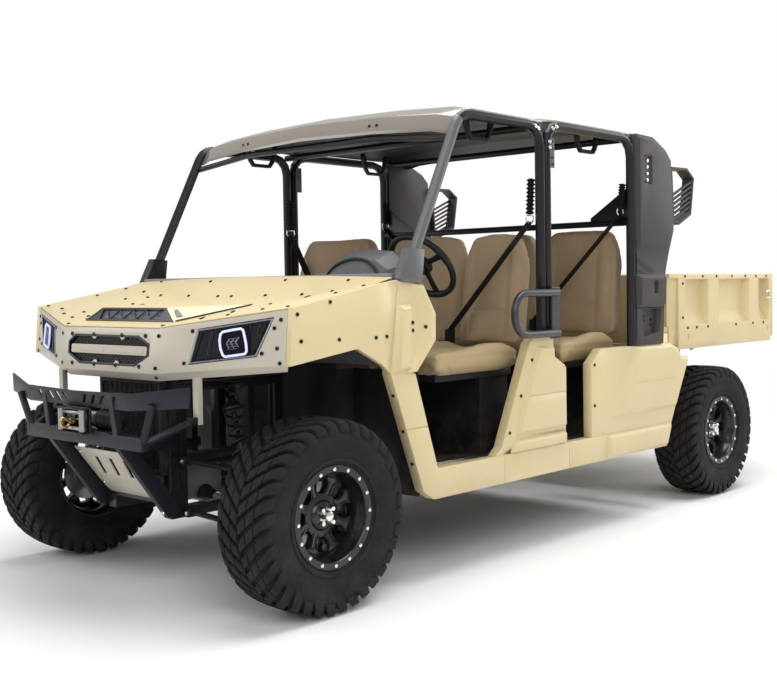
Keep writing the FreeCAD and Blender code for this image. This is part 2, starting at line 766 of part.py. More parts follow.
def centre_posts():
    """The posts between the doors: a flanged base with a raised cover in two steps."""
    low = sill_top + seat_gap
    # ahead of the axle, z
    outline = [post_top[0], post_top[1], (-1375, 851), (-1460, 806), (-1463, low), (-950, low), (-991, 483),
               (-1191, 916)]
    foot = [(-1237, 905), (-1367, 900), (-1372, 848), (-1457, 803), (-1459, 525), (-1083, 525)]
    face = [(-1257, 889), (-1357, 886), (-1361, 841), (-1446, 797), (-1448, 540), (-1108, 540)]
    skirt_foot = [(-1459, 506), (-1075, 506), (-1050, low + 2), (-1459, low + 2)]
    skirt_face = [(-1449, 498), (-1090, 498), (-1070, low + 6), (-1449, low + 6)]
    base = side_plate(placed(outline))
    face_y = body_half_width + 16
    cover = raised(placed(foot), placed(face), body_half_width - 2, face_y)
    skirt = raised(placed(skirt_foot), placed(skirt_face), body_half_width - 2, face_y)
    split = box(ahead(-1470), ahead(-1150), face_y - seam_depth, face_y + 1, 686, 689)
    return both_sides([join([base, cover, skirt]).cut(split)])


quarter_top = ((1166.0, 863.0), (522.0, 861.0))


def rear_quarters():
    """The panels behind the rear doors, with a raised cover past a slanting crease."""
    low = sill_top + seat_gap
    # ahead of the rear axle, z
    outline = [(1252, 797), quarter_top[0], quarter_top[1], (428, 827), (418, 790), (332, 784), (508, low),
               (1252, low)]
    foot = [(877, 861), (524, 859), (432, 826), (422, 790), (338, 783), (474, 520), (1134, 520)]
    face = [(828, 842), (528, 840), (452, 812), (440, 772), (362, 766), (486, 545), (1000, 545)]
    face_y = body_half_width + 18
    cover = raised(placed_astern(foot), placed_astern(face), body_half_width - 2, face_y)
    split = box(astern(510), astern(896), face_y - seam_depth, face_y + 1, 678, 681)
    return both_sides([join([side_plate(placed_astern(outline)), cover]).cut(split)])


def cowl_bar():
    edge = side_inner - seat_gap
    return [box(ahead(-392), ahead(-361) - seat_gap, -edge, edge, 1186, 1222)]


# Cab
binnacle_y = body_half_width - 340


def dashboard():
    # ahead of the axle, z
    profile = [(-396, 1186), (-396, 1120), (-430, 862), (-550, 930), (-600, 1110), (-560, 1186)]
    edge = side_inner - seat_gap
    beam = prism([(ahead(x), z) for x, z in profile], -edge, edge)
    rings = []
    # ahead of the axle, half width, rise above the dashboard
    for x, half, rise in ((-430, 120, 30), (-480, 185, 105), (-560, 214, 146), (-640, 208, 136)):
        arch = [(-1, 0), (-0.95, 0.55), (-0.6, 0.92), (0, 1), (0.6, 0.92), (0.95, 0.55), (1, 0)]
        rings.append([vec(ahead(x), binnacle_y + half * a, 1180 + rise * b) for a, b in arch])
    binnacle = drawn(rings)
    column = bar(steering_point(-14), steering_point(-530), 24)
    shaft = bar(steering_point(18), steering_point(-30), steering_shaft_radius, hub_sides)
    return [join([beam, binnacle, column, shaft])]


steering_centre = (ahead(-978), binnacle_y - 90, 1260.0)
steering_shaft_radius = 12.0


def steering_point(along):
    """A point on the steering column, measured from the wheel's centre towards the driver."""
    tilt = math.radians(steering_wheel_tilt)
    return (steering_centre[0] - along * math.cos(tilt), steering_centre[1],
            steering_centre[2] + along * math.sin(tilt))


def steering_wheel():
    tilt = math.radians(steering_wheel_tilt)
    axis = vec(-math.cos(tilt), 0, math.sin(tilt))
    across = vec(0, 1, 0)
    up = axis.cross(across)
    centre = vec(*steering_centre)
    reach = steering_wheel_diameter / 2 - steering_rim_radius
    rings = []
    rim_steps = 24
    for index in range(rim_steps):
        turn = 2 * math.pi * index / rim_steps
        out = across * math.cos(turn) + up * math.sin(turn)
        rings.append([centre + out * (reach + a) + axis * b
                      for a, b in regular_outline(steering_rim_radius, 6)])
    hub = bar(steering_point(-12), steering_point(24), 46, hub_sides)
    hub = hub.cut(bore(steering_point(-12), steering_point(19), steering_shaft_radius, hub_sides))
    spokes = []
    for angle in (20, 160, 270):
        aim = across * math.cos(math.radians(angle)) - up * math.sin(math.radians(angle))
        spokes.append(bar(tuple(centre + aim * 40), tuple(centre + aim * reach), 12, 4))
    return [join([skinned(rings, closed=True), hub] + spokes)]


def on_quarter(x):
    """The height just above the rear quarter's top edge."""
    (front, front_z), (back, back_z) = quarter_top
    return back_z + (front_z - back_z) * (x - back) / (front - back) + seat_gap


centre_pillar = -1318.0
rear_pillar = 882.0


def cage_front():
    """The front cage: side rails from the cowl to the centre posts, header, cross tube and pillar boots."""
    y = cage_half_width
    # ahead of the axle, z
    foot = (ahead(-395), y, 1150)
    knee = (ahead(-748), y, roof_tube_z)
    back = ahead(centre_pillar) + cage_tube_radius + 1
    post = post_top[0][1] + seat_gap
    side = pipe([foot, knee, (back, y, roof_tube_z), (back, y, post)], cage_tube_radius, cage_bend)
    side = side.cut(box(ahead(-520), ahead(-320), y - 100, y + 100, 1050, 1198))
    corner_x, corner_z = pod_corner
    boot = prism(placed([(-374, 1192 + seat_gap), (corner_x, corner_z + seat_gap), (-489, 1206),
                         (-503, 1312), (-432, 1319), (-374, 1204)]),
                 y - cage_tube_radius - 4, y + cage_tube_radius + 4)
    bend_y = 400.0
    header = pipe([(ahead(-716), -y, roof_tube_z - 102), (ahead(-690), -bend_y, roof_tube_z - 66),
                   (ahead(-690), bend_y, roof_tube_z - 66), (ahead(-716), y, roof_tube_z - 102)], 14, 300,
                  steps=1)
    cross = bar((back, -y, roof_tube_z), (back, y, roof_tube_z), cage_tube_radius - 4)
    return [join(both_sides([side, boot]) + [header, cross])]


def cage_rear():
    """The rear cage: side hoops between the posts and the quarters, cross tubes and corner gussets."""
    y = cage_half_width
    front = ahead(centre_pillar) - cage_tube_radius - 1
    back = astern(rear_pillar)
    top_z = roof_tube_z + rear_roof_rise
    side = pipe([(front, y, post_top[0][1] + seat_gap), (front, y, top_z), (back, y, top_z),
                 (back, y, on_quarter(rear_pillar))], cage_tube_radius, cage_bend)
    cross_z = 1470.0
    cross = bar((back, -y, cross_z), (back, y, cross_z), cage_tube_radius - 6)
    top = bar((back, -y, top_z), (back, y, top_z), cage_tube_radius - 4)
    gusset = prism([(cage_inner + 4, cross_z + 170), (cage_inner + 4, cross_z + 8), (610, cross_z + 8),
                    (610, cross_z + 30)], back - 4, back + 4, across="x")
    return [join(both_sides([side, gusset]) + [cross, top])]


roof_thickness = 14.0
roof_shoulder_y = body_half_width - 120
roof_shoulder_rise = 8.0
roof_lift = roof_thickness + seat_gap + roof_shoulder_rise - 4


def roof_panel(stations):
    """A crowned roof skin between the side rails.

    Each station has the x of its edges, a height above the rails' top and how far its middle runs ahead.
    """
    edge = cage_inner - seat_gap
    rows = []
    for x, lift, bow in stations:
        base = roof_side_height + lift
        rows.append([(x + bow, 0, base + roof_crown), (x + bow * 0.7, 430, base + roof_crown * 0.75),
                     (x + bow * 0.25, roof_shoulder_y, base + roof_shoulder_rise),
                     (x, edge, base - roof_shoulder_rise)])
    return faceted_panel(across_both(rows), (0, 0, -roof_thickness))


def roof_front():
    """The front skin, with a bowed visor turned down over the header."""
    return [roof_panel([(ahead(-721), -86, 75), (ahead(-753), -23, 75), (ahead(-850), roof_lift, 40),
                        (ahead(-1346), roof_lift, 0)])]


def roof_rear():
    risen = roof_lift + rear_roof_rise
    return [roof_panel([(ahead(-1347), roof_lift, 0), (ahead(-1460), risen, 0), (astern(820), risen, 0),
                        (astern(690), roof_lift - 16, -20)])]


cap_back = ((515, roof_side_height - 88), (488, roof_side_height - 446))


def rear_cap():
    """The moulded cover behind each rear pillar: a tall shell, a latch block and a cubby at its foot."""
    top = roof_side_height
    front = rear_pillar - cage_tube_radius - seat_gap
    # ahead of the rear axle, z
    outline = [(front, top + 17), (694, top + 13), (566, top - 42), cap_back[0], cap_back[1],
               (540, top - 565), (577, top - 667), (600, on_quarter(600)), (front, on_quarter(front))]
    shell_foot = [(front - 4, top + 8), (698, top + 5), (574, top - 48), (524, top - 92), (498, top - 442),
                  (548, top - 558), (front - 4, top - 558)]
    shell_face = [(front - 16, top - 8), (702, top - 10), (588, top - 60), (540, top - 100), (514, top - 438),
                  (562, top - 536), (front - 16, top - 536)]
    block_foot = [(front - 4, 1214), (582, 1214), (596, 1052), (front - 4, 1052)]
    block_face = [(front - 18, 1198), (600, 1198), (610, 1064), (front - 18, 1064)]
    face_y = body_half_width + 8
    shell_y = face_y + 14
    block_y = face_y + 22
    solid = join([prism(placed_astern(outline), cage_inner, face_y),
                  raised(placed_astern(shell_foot), placed_astern(shell_face), face_y - 2, shell_y),
                  raised(placed_astern(block_foot), placed_astern(block_face), face_y - 2, block_y)])
    hinge_recess = box(astern(726), astern(798), shell_y - 10, shell_y + 1, top - 226, top - 86)
    latch_recess = box(astern(684), astern(722), block_y - 16, block_y + 1, 1118, 1184)
    cubby = prism(placed_astern([(800, 1042), (620, 1042), (634, 925), (790, 900)]), face_y - 30, face_y + 1)
    return both_sides([solid.cut(Part.makeCompound([hinge_recess, latch_recess, cubby]))])


vent_slots = 9


def intake_vents():
    """The louvred boxes behind the caps, their outer faces cut by a row of slanting slots."""
    (upper_x, upper_z), (lower_x, lower_z) = cap_back

    def on_cap(z):
        return lower_x + (upper_x - lower_x) * (z - lower_z) / (upper_z - lower_z) - seat_gap

    high, low = upper_z - 32, lower_z + 43
    # ahead of the rear axle, z
    outline = [(on_cap(high), high), (341, high + 4), (266, high - 44), (300, low + 42), (428, low - 14),
               (on_cap(low), low)]
    outer = body_half_width + 8
    shape = prism([(astern(x), z) for x, z in outline], bed_half_width + 15, outer)
    slots = []
    for index in range(vent_slots):
        z = low + 22 + index * (high - low - 50) / (vent_slots - 1)
        slots.append(prism([(astern(x), z + rise) for x, rise in ((470, 0), (330, 26), (330, 38), (470, 12))],
                           outer - 24, outer + 1))
    return both_sides([shape.cut(Part.makeCompound(slots))])


# Seats
seat_half_width = body_half_width - 90


def cushion(back, front, low, high, y_low, y_high):
    profile = [(back, low), (front - 20, low), (front, low + 40), (front - 10, high - 14), (front - 50, high),
               (back, high - 24)]
    return prism(profile, y_low, y_high)


def seat_back(base_x, base_z, top_z, lean, thickness, y_low, y_high):
    profile = [(base_x, base_z), (base_x + thickness, base_z), (base_x + thickness - lean, top_z - 40),
               (base_x + thickness * 0.5 - lean, top_z), (base_x - lean, top_z - 20)]
    return prism(profile, y_low, y_high)


# back, front, underside and top of each row's cushions
seat_bottom = 806.0
front_row = (ahead(-1255), ahead(-680), seat_bottom, 926.0)
rear_row = (astern(863), astern(1340), seat_bottom, 936.0)
seat_back_thickness = 90.0
seat_back_overlap = 45.0


def back_foot(row):
    """Where a row's backs stand on its cushions."""
    back, front, low, high = row
    crown = high - 24 * (1 - seat_back_overlap / (front - 50 - back))
    return back + seat_back_overlap - seat_back_thickness, crown + seat_gap


def front_seat_cushions():
    places = [(-seat_half_width, -180), (-170, 380), (390, seat_half_width)]
    return [cushion(*front_row, low, high) for low, high in places]


def front_seat_backs():
    # y low, y high, top
    places = [(-seat_half_width + 10, -170, 1430), (-100, 385, 1420), (395, seat_half_width + 5, 1410)]
    foot_x, foot_z = back_foot(front_row)
    return [seat_back(foot_x, foot_z, top, 70, seat_back_thickness, low, high) for low, high, top in places]


rear_seat_edges = [(-seat_half_width + 15, -255), (-245, 245), (255, seat_half_width - 15)]
rear_seat_top = 1455.0


def rear_seat_cushions():
    return [cushion(*rear_row, low, high) for low, high in rear_seat_edges]


def rear_seat_backs():
    foot_x, foot_z = back_foot(rear_row)
    return [seat_back(foot_x, foot_z, rear_seat_top, 60, seat_back_thickness, low, high)
            for low, high in rear_seat_edges]


def seat_bases():
    bases = []
    for back, front in ((ahead(-1255), ahead(-740)), (astern(800), astern(1290))):
        edge = seat_half_width - 60
        bases.append(box(back, front, -edge, edge, 770, seat_bottom - seat_gap))
        bases.append(box(back, back + 200, -edge + 20, edge - 20, floor_height + seat_gap, 770))
    return [join(bases)]


def seat_belts():
    """Reel housings on the pillars and the straps that run down across the seat backs."""
    parts = []
    inner = cage_inner - seat_gap
    # pillar station, strap top x and z, strap foot x, y and z
    runs = [(ahead(-1310), ahead(-1277), roof_tube_z - 346, ahead(-1178), 400, 960),
            (astern(rear_pillar), astern(925), roof_tube_z - 306, astern(905), 262, 975)]
    for pillar, top_x, top_z, foot_x, foot_y, foot_z in runs:
        parts.append(box(pillar + 4 + seat_gap, pillar + 60, inner - 30, inner, top_z - 40, top_z + 90))
        strap = [[(top_x, inner - 4, top_z - 40 - seat_gap), (top_x, inner - 40, top_z - 61)],
                 [(foot_x, foot_y + 22, foot_z + 10), (foot_x, foot_y - 20, foot_z - 10)]]
        parts.append(faceted_panel(strap, (2.5, 0, 0)))
    return both_sides(parts)


def hip_hoops():
    """Hoops bolted outside the centre pillars, beside the front seats."""
    radius = 17.0
    y = cage_half_width + cage_tube_radius + radius + seat_gap
    back, front = ahead(-1371), ahead(-1053)
    hoop = pipe([(back, y, 1135), (front, y, 1135), (front, y, 955), (back, y, 955)], radius, 84, steps=2)
    plate = box(ahead(-1394), ahead(-1330), cage_half_width + cage_tube_radius + seat_gap, y - 4, 931, 1160)
    return both_sides([join([hoop, plate])])


def grab_handles():
    """Four handles screwed up into the roof skins, beside their shoulders."""
    half_width = 11.0
    grip = 16.0
    drop = 110.0
    y = roof_shoulder_y - half_width - 1
    handles = []
    for station, rise in ((ahead(-1020), 0), (astern(1080), rear_roof_rise)):
        high = roof_side_height + roof_lift + roof_shoulder_rise - roof_thickness + rise - seat_gap
        # along the rail, below the skin
        half = [(104, 0), (104, 16), (78, drop - 26), (56, drop)]
        inside = [(48, drop - grip), (64, drop - 36), (80, 0)]
        outline = half + [(-x, z) for x, z in reversed(half)]
        outline += [(-x, z) for x, z in reversed(inside)] + inside
        handles.append(prism([(station + x, high - z) for x, z in outline], y - half_width, y + half_width))
    return both_sides(handles)


# Front and rear hardware
bumper_beam_half = 24.0
bumper_beam = (455.0, 626.0)


def front_bumper():
    """The slotted bumper plate, the lower beam and the struts and rakers that hold them."""
    plate_rows = across_both([
        [(498, 0, 802), (490, 353, 807), (417, 602, 837)],
        [(486, 0, 745), (480, 345, 745), (417, 598, 764)],
    ])
    plate = faceted_panel(placed_rows(plate_rows), (-7, 0, 0))
    slots = []
    for centre in (-250, -175, -120, -65, 65, 120, 175, 250):
        lean = 12 if centre < 0 else -12
        slots.append(prism([(centre - 10 + lean, 758), (centre + 10 + lean, 758), (centre + 10 - lean, 792),
                            (centre - 10 - lean, 792)], ahead(380), ahead(520), across="x"))
    plate = plate.cut(Part.makeCompound(slots))
    beam_x, beam_z = bumper_beam
    reach = 392.0
    half = bumper_beam_half
    beam = box(ahead(beam_x - 18), ahead(beam_x + 18), -reach, reach, beam_z - half, beam_z + half)
    struts = [bar((ahead(beam_x), reach - 14, beam_z), (ahead(beam_x + 8), 452, 770), 15, 6),
              bar((ahead(beam_x), reach - 14, beam_z), (ahead(300), nose_strap_y, 698), 14, 6),
              box(ahead(284) + seat_gap, ahead(312), nose_strap_y - 14, nose_strap_y + 14, 684, 712)]
    foot = front_bay[1] + seat_gap
    inner, outer = frame_outer + seat_gap, frame_outer + seat_gap + 28
    # ahead of the axle, z: raker below, tie to the frame, upright to the plate
    for outline in ([(foot, 316), (262, 316), (470, beam_z - 20), (470, beam_z + 14), (436, beam_z + 14),
                     (foot, 378)],
                    [(foot, 560), (foot, 596), (445, beam_z + half), (445, beam_z - half)],
                    [(440, beam_z + 4), (470, beam_z + 4), (492, 800), (474, 800)]):
        struts.append(prism(placed(outline), inner, outer))
    return [join(both_sides(struts) + [plate, beam])]


def winch():
    beam_x, beam_z = bumper_beam
    tray_z = beam_z + bumper_beam_half + seat_gap
    axis_z = tray_z + 40
    drum = bar((ahead(420), -80, axis_z), (ahead(420), 80, axis_z), 27, 12)
    motor = bar((ahead(420), 80, axis_z), (ahead(420), 190, axis_z), 35, 12)
    gear = bar((ahead(420), -190, axis_z), (ahead(420), -80, axis_z), 35, 12)
    tray = box(ahead(372), ahead(480), -200, 200, tray_z, tray_z + 6)
    fairlead = box(ahead(480), ahead(490), -95, 95, 645, 741)
    fairlead = fairlead.cut(box(ahead(479), ahead(491), -60, 60, 668, 716))
    rollers = [bar((ahead(506), y, 650), (ahead(506), y, 738), 13) for y in (-72, 72)]
    caps = [box(ahead(490), ahead(520), -90, 90, low, low + 6) for low in (645, 735)]
    hook = bar((ahead(480), 0, axis_z), (ahead(front_overhang), 0, axis_z), 12)
    rope_guide = box(ahead(440), ahead(490), -61, 61, axis_z - 8, axis_z + 8)
    return [join([drum, motor, gear, tray, fairlead, hook, rope_guide] + rollers + caps)]


receiver_bore = 50.8
receiver_wall = 6.35
pin_bore_radius = 8.0
receiver_low = bay_rail_bottom + bay_rail_height + seat_gap
receiver_back = 700.0


def rear_bumper():
    x = astern(-receiver_back)
    half = receiver_bore / 2 + receiver_wall
    tube = box(x, x + 230, -half, half, receiver_low, receiver_low + 2 * half)
    socket = box(x - 1, x + 110, -receiver_bore / 2, receiver_bore / 2, receiver_low + receiver_wall,
                 receiver_low + receiver_wall + receiver_bore)
    pin_z = receiver_low + half
    pin = rod((x + 64, -60, pin_z), (x + 64, 60, pin_z), pin_bore_radius)
    beam = box(x + 80, x + 98, -430, 430, receiver_low, receiver_low + 2 * half)
    tube = tube.cut(socket).cut(pin)
    beam = beam.cut(socket)
    return [join([tube, beam])]


def tail_lamps():
    """Lamps that stand on the ends of the rear beam."""
    x = astern(-receiver_back)
    low = receiver_low + receiver_bore + 2 * receiver_wall + seat_gap
    return both_sides([box(x + 70, x + 98, 316, 424, low, low + 62)])


# Bed and tailgate
tailgate_thickness = 30.0
tailgate_hinge = (-rear_overhang + tailgate_thickness / 2, bed_bottom + 10)
tailgate_pin_radius = 7.0
tailgate_hinge_y = 500.0


def bed_floor():
    front, back = astern(380), astern(-rear_overhang + 40)
    half = bed_half_width - bed_wall - seat_gap
    plate = box(back, front, -half, half, bed_bottom + 14, bed_floor_height)
    rails = []
    for y in (-bed_rail_half, bed_rail_half):
        rails.append(box(back + 60, front - 20, y - 25, y + 25, bed_rail_top + seat_gap, bed_bottom + 14))
    ears = []
    x = astern(-bed_hinge_back)
    for y in (-bed_rail_half - 60, bed_rail_half + 60):
        ear = prism([(x - 30, bed_hinge_height), (x, bed_hinge_height - 28), (x + 30, bed_hinge_height),
                     (x + 40, bed_bottom + 14), (x - 40, bed_bottom + 14)], y - 8, y + 8)
        hole = bore((x, y - 9, bed_hinge_height), (x, y + 9, bed_hinge_height), bed_hinge_radius)
        ears.append(ear.cut(hole))
    hinge_x, hinge_z = astern(tailgate_hinge[0]), tailgate_hinge[1]
    for middle in (-tailgate_hinge_y, tailgate_hinge_y):
        ears.append(bar((hinge_x, middle - 42, hinge_z), (hinge_x, middle + 42, hinge_z),
                        tailgate_pin_radius))
        for edge in (middle - 42, middle + 30):
            ears.append(box(hinge_x, back + 10, edge, edge + 12, hinge_z - 9, hinge_z + 9))
            ears.append(bar((hinge_x, edge, hinge_z), (hinge_x, edge + 12, hinge_z), 9))
    return [join([plate] + rails + ears)]


def bed_sides():
    """The bed's sides, pressed in between their posts, and the board across its front."""
    front, back = astern(393), astern(-rear_overhang + tailgate_thickness + moving_gap)
    band_front = astern(295)
    outer = bed_half_width
    inner = outer - bed_wall
    upper = box(back, front, inner, outer, bed_band_top, bed_top)
    band = box(back, band_front, inner, outer, bed_bottom, bed_band_top)
    cuts = [box(astern(296), front + 1, outer - 16, outer + 1, bed_band_top - 1, bed_top - 22)]
    low, crease, high = bed_band_top + 6, bed_band_top + 72, bed_top - 28
    # front and back edge, ahead of the rear axle
    for pocket_front, pocket_back in ((218, -40), (-160, -550), (-670, -816)):
        cuts.append(prism([(outer + 1, low), (outer - 24, low), (outer - bed_pocket_depth, crease),
                           (outer - bed_pocket_depth, high), (outer + 1, high)], astern(pocket_back),
                          astern(pocket_front), across="x"))
    teardrop = [(-9, 18), (9, 18), (12, -6), (0, -22), (-12, -6)]
    for station, z in ((188, bed_bottom + 62), (-792, bed_bottom + 74)):
        cuts.append(prism([(astern(station + x), z + rise) for x, rise in teardrop], outer - 8, outer + 1))
    side = join([upper, band]).cut(Part.makeCompound(cuts))
    board = box(front - bed_board, front, -inner, inner, bed_band_top - 94, bed_top)
    return [join(both_sides([side]) + [board])]


def tailgate():
    hinge_x, hinge_z = astern(tailgate_hinge[0]), tailgate_hinge[1]
    back = astern(-rear_overhang)
    front = back + tailgate_thickness
    half = bed_half_width - 2
    panel = box(back, front, -half, half, hinge_z + 16, bed_top)
    recess = box(back - 1, back + 10, -half + 60, half - 60, bed_band_top - 40, bed_top - 60)
    knuckles = []
    for middle in (-tailgate_hinge_y, tailgate_hinge_y):
        sleeve = bar((hinge_x, middle - 28, hinge_z), (hinge_x, middle + 28, hinge_z), 12)
        web = box(hinge_x - 7, hinge_x + 7, middle - 28, middle + 28, hinge_z, hinge_z + 20)
        hole = bore((hinge_x, middle - 29, hinge_z), (hinge_x, middle + 29, hinge_z), tailgate_pin_radius)
        knuckles.append(join([sleeve, web]).cut(hole))
    return [join([panel.cut(recess)] + knuckles)]


# Node name and what it holds
base_tyre = tyre()
base_rim = rim()
wheel_places = {"fl": (front_axle, 1), "fr": (front_axle, -1), "rl": (rear_axle, 1), "rr": (rear_axle, -1)}
nodes = {
    "chassis_frame": chassis_frame(),
    "floor_pan": floor_pan(),
    "skid_plate": skid_plate(),
    "radiator": radiator(),
    "engine_block": engine_block(),
    "driveline": driveline(),
    "exhaust": exhaust(),
    "suspension_arms": suspension_arms(),
    "shock_absorbers": shock_absorbers(),
    "nose_panel": nose_panel(),
    "headlamps": headlamps(),
    "grille": grille(),
    "hood": hood(),
    "hood_scoop": hood_scoop(),
    "front_fenders": front_fenders(),
    "cowl_pods": cowl_pods(),
    "body_sills": body_sills(),
    "centre_posts": centre_posts(),
    "rear_quarters": rear_quarters(),
    "cowl_bar": cowl_bar(),
    "dashboard": dashboard(),
    "steering_wheel": steering_wheel(),
    "cage_front": cage_front(),
    "cage_rear": cage_rear(),
    "roof_front": roof_front(),
    "roof_rear": roof_rear(),
    "rear_cap": rear_cap(),
    "intake_vents": intake_vents(),
    "front_seat_cushions": front_seat_cushions(),
    "front_seat_backs": front_seat_backs(),
    "rear_seat_cushions": rear_seat_cushions(),
    "rear_seat_backs": rear_seat_backs(),
    "seat_bases": seat_bases(),
    "seat_belts": seat_belts(),
    "hip_hoops": hip_hoops(),
    "grab_handles": grab_handles(),
    "front_bumper": front_bumper(),
    "winch": winch(),
    "rear_bumper": rear_bumper(),
    "tail_lamps": tail_lamps(),
    "rear_uprights": both_sides([upright(rear_axle)]),
    "knuckle_fl": [upright(front_axle)],
    "knuckle_fr": [mirror(upright(front_axle))],
    "bed_floor": bed_floor(),
    "bed_sides": bed_sides(),
    "tailgate": tailgate(),
}
for corner, (station, side) in wheel_places.items():
    nodes["tyre_" + corner] = [placed_wheel(base_tyre, station, side)]
    nodes["rim_" + corner] = [placed_wheel(base_rim, station, side)]

os.makedirs("parts", exist_ok=True)
for name, solids in nodes.items():
    shape = solids[0] if len(solids) == 1 else Part.makeCompound(solids)
    shape.exportStep("parts/" + name + ".step")
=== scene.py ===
"""Looks of the crew-cab utility terrain vehicle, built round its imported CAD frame. Metres, +X forward, +Z up."""
import bpy
import math
from mathutils import Matrix, Vector
from mathutils.bvhtree import BVHTree


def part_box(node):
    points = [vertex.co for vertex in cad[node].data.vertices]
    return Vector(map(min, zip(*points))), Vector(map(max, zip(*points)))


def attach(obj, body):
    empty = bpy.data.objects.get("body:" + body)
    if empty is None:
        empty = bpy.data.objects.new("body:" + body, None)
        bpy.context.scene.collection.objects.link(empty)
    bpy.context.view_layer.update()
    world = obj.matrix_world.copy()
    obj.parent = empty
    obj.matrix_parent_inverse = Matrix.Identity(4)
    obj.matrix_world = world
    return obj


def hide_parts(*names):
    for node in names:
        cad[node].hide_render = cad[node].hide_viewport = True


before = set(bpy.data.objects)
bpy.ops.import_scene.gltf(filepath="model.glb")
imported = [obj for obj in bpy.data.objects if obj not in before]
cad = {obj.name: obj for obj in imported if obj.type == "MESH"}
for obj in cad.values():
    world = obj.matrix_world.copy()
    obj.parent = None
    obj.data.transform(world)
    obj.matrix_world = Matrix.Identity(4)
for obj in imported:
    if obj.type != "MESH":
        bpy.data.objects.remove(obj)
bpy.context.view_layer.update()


# The wheels' centres give the two stations from which everything along the vehicle is measured. Places in
# the tables below are in millimetres: ahead of an axle, to the left, above the ground.
def middle(node):
    low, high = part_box(node)
    return (low + high) / 2


front_axle, rear_axle = middle("rim_fl").x, middle("rim_rl").x
axle_height = middle("rim_fl").z
wheel_y = middle("tyre_fl").y


def at(x, y, z):
    """A place measured from the front axle."""
    return Vector((front_axle + x / 1000, y / 1000, z / 1000))


def at_rear(x, y, z):
    """A place measured from the rear axle."""
    return Vector((rear_axle + x / 1000, y / 1000, z / 1000))


# Sheet panels of the body, nose, hood, pods, sills and quarters: pressed steel, powder coated in sand,
# with a fine orange-peel skin, slightly rubbed edges and a little road dust towards the ground.
def shader_group(name, inputs, outputs):
    """A node group with its sockets, as (name, kind, default) rows."""
    group = bpy.data.node_groups.new(name, "ShaderNodeTree")
    for label, kind, value in inputs:
        socket = group.interface.new_socket(label, in_out="INPUT", socket_type=kind)
        socket.default_value = value
    for label, kind in outputs:
        group.interface.new_socket(label, in_out="OUTPUT", socket_type=kind)
    return group, group.nodes.new("NodeGroupInput"), group.nodes.new("NodeGroupOutput")


def node_in(tree, kind, **settings):
    node = tree.nodes.new(kind)
    for key, value in settings.items():
        setattr(node, key, value)
    return node


def noise_at(tree, scale_socket, scale, detail=3.0, roughness=0.55):
    """Noise on Object coordinates; scale is a number, or a socket times that number."""
    place = tree.nodes.new("ShaderNodeTexCoord")
    noise = tree.nodes.new("ShaderNodeTexNoise")
    noise.inputs["Detail"].default_value = detail
    noise.inputs["Roughness"].default_value = roughness
    noise.inputs["Scale"].default_value = scale
    tree.links.new(place.outputs["Object"], noise.inputs["Vector"])
    if scale_socket is not None:
        times = node_in(tree, "ShaderNodeMath", operation="MULTIPLY")
        times.inputs[1].default_value = scale
        tree.links.new(scale_socket, times.inputs[0])
        tree.links.new(times.outputs[0], noise.inputs["Scale"])
    return noise


def ramp_of(tree, source, low, high, out_low=0.0, out_high=1.0):
    ramp = tree.nodes.new("ShaderNodeMapRange")
    for index, value in ((1, low), (2, high), (3, out_low), (4, out_high)):
        ramp.inputs[index].default_value = value
    tree.links.new(source, ramp.inputs[0])
    return ramp.outputs[0]


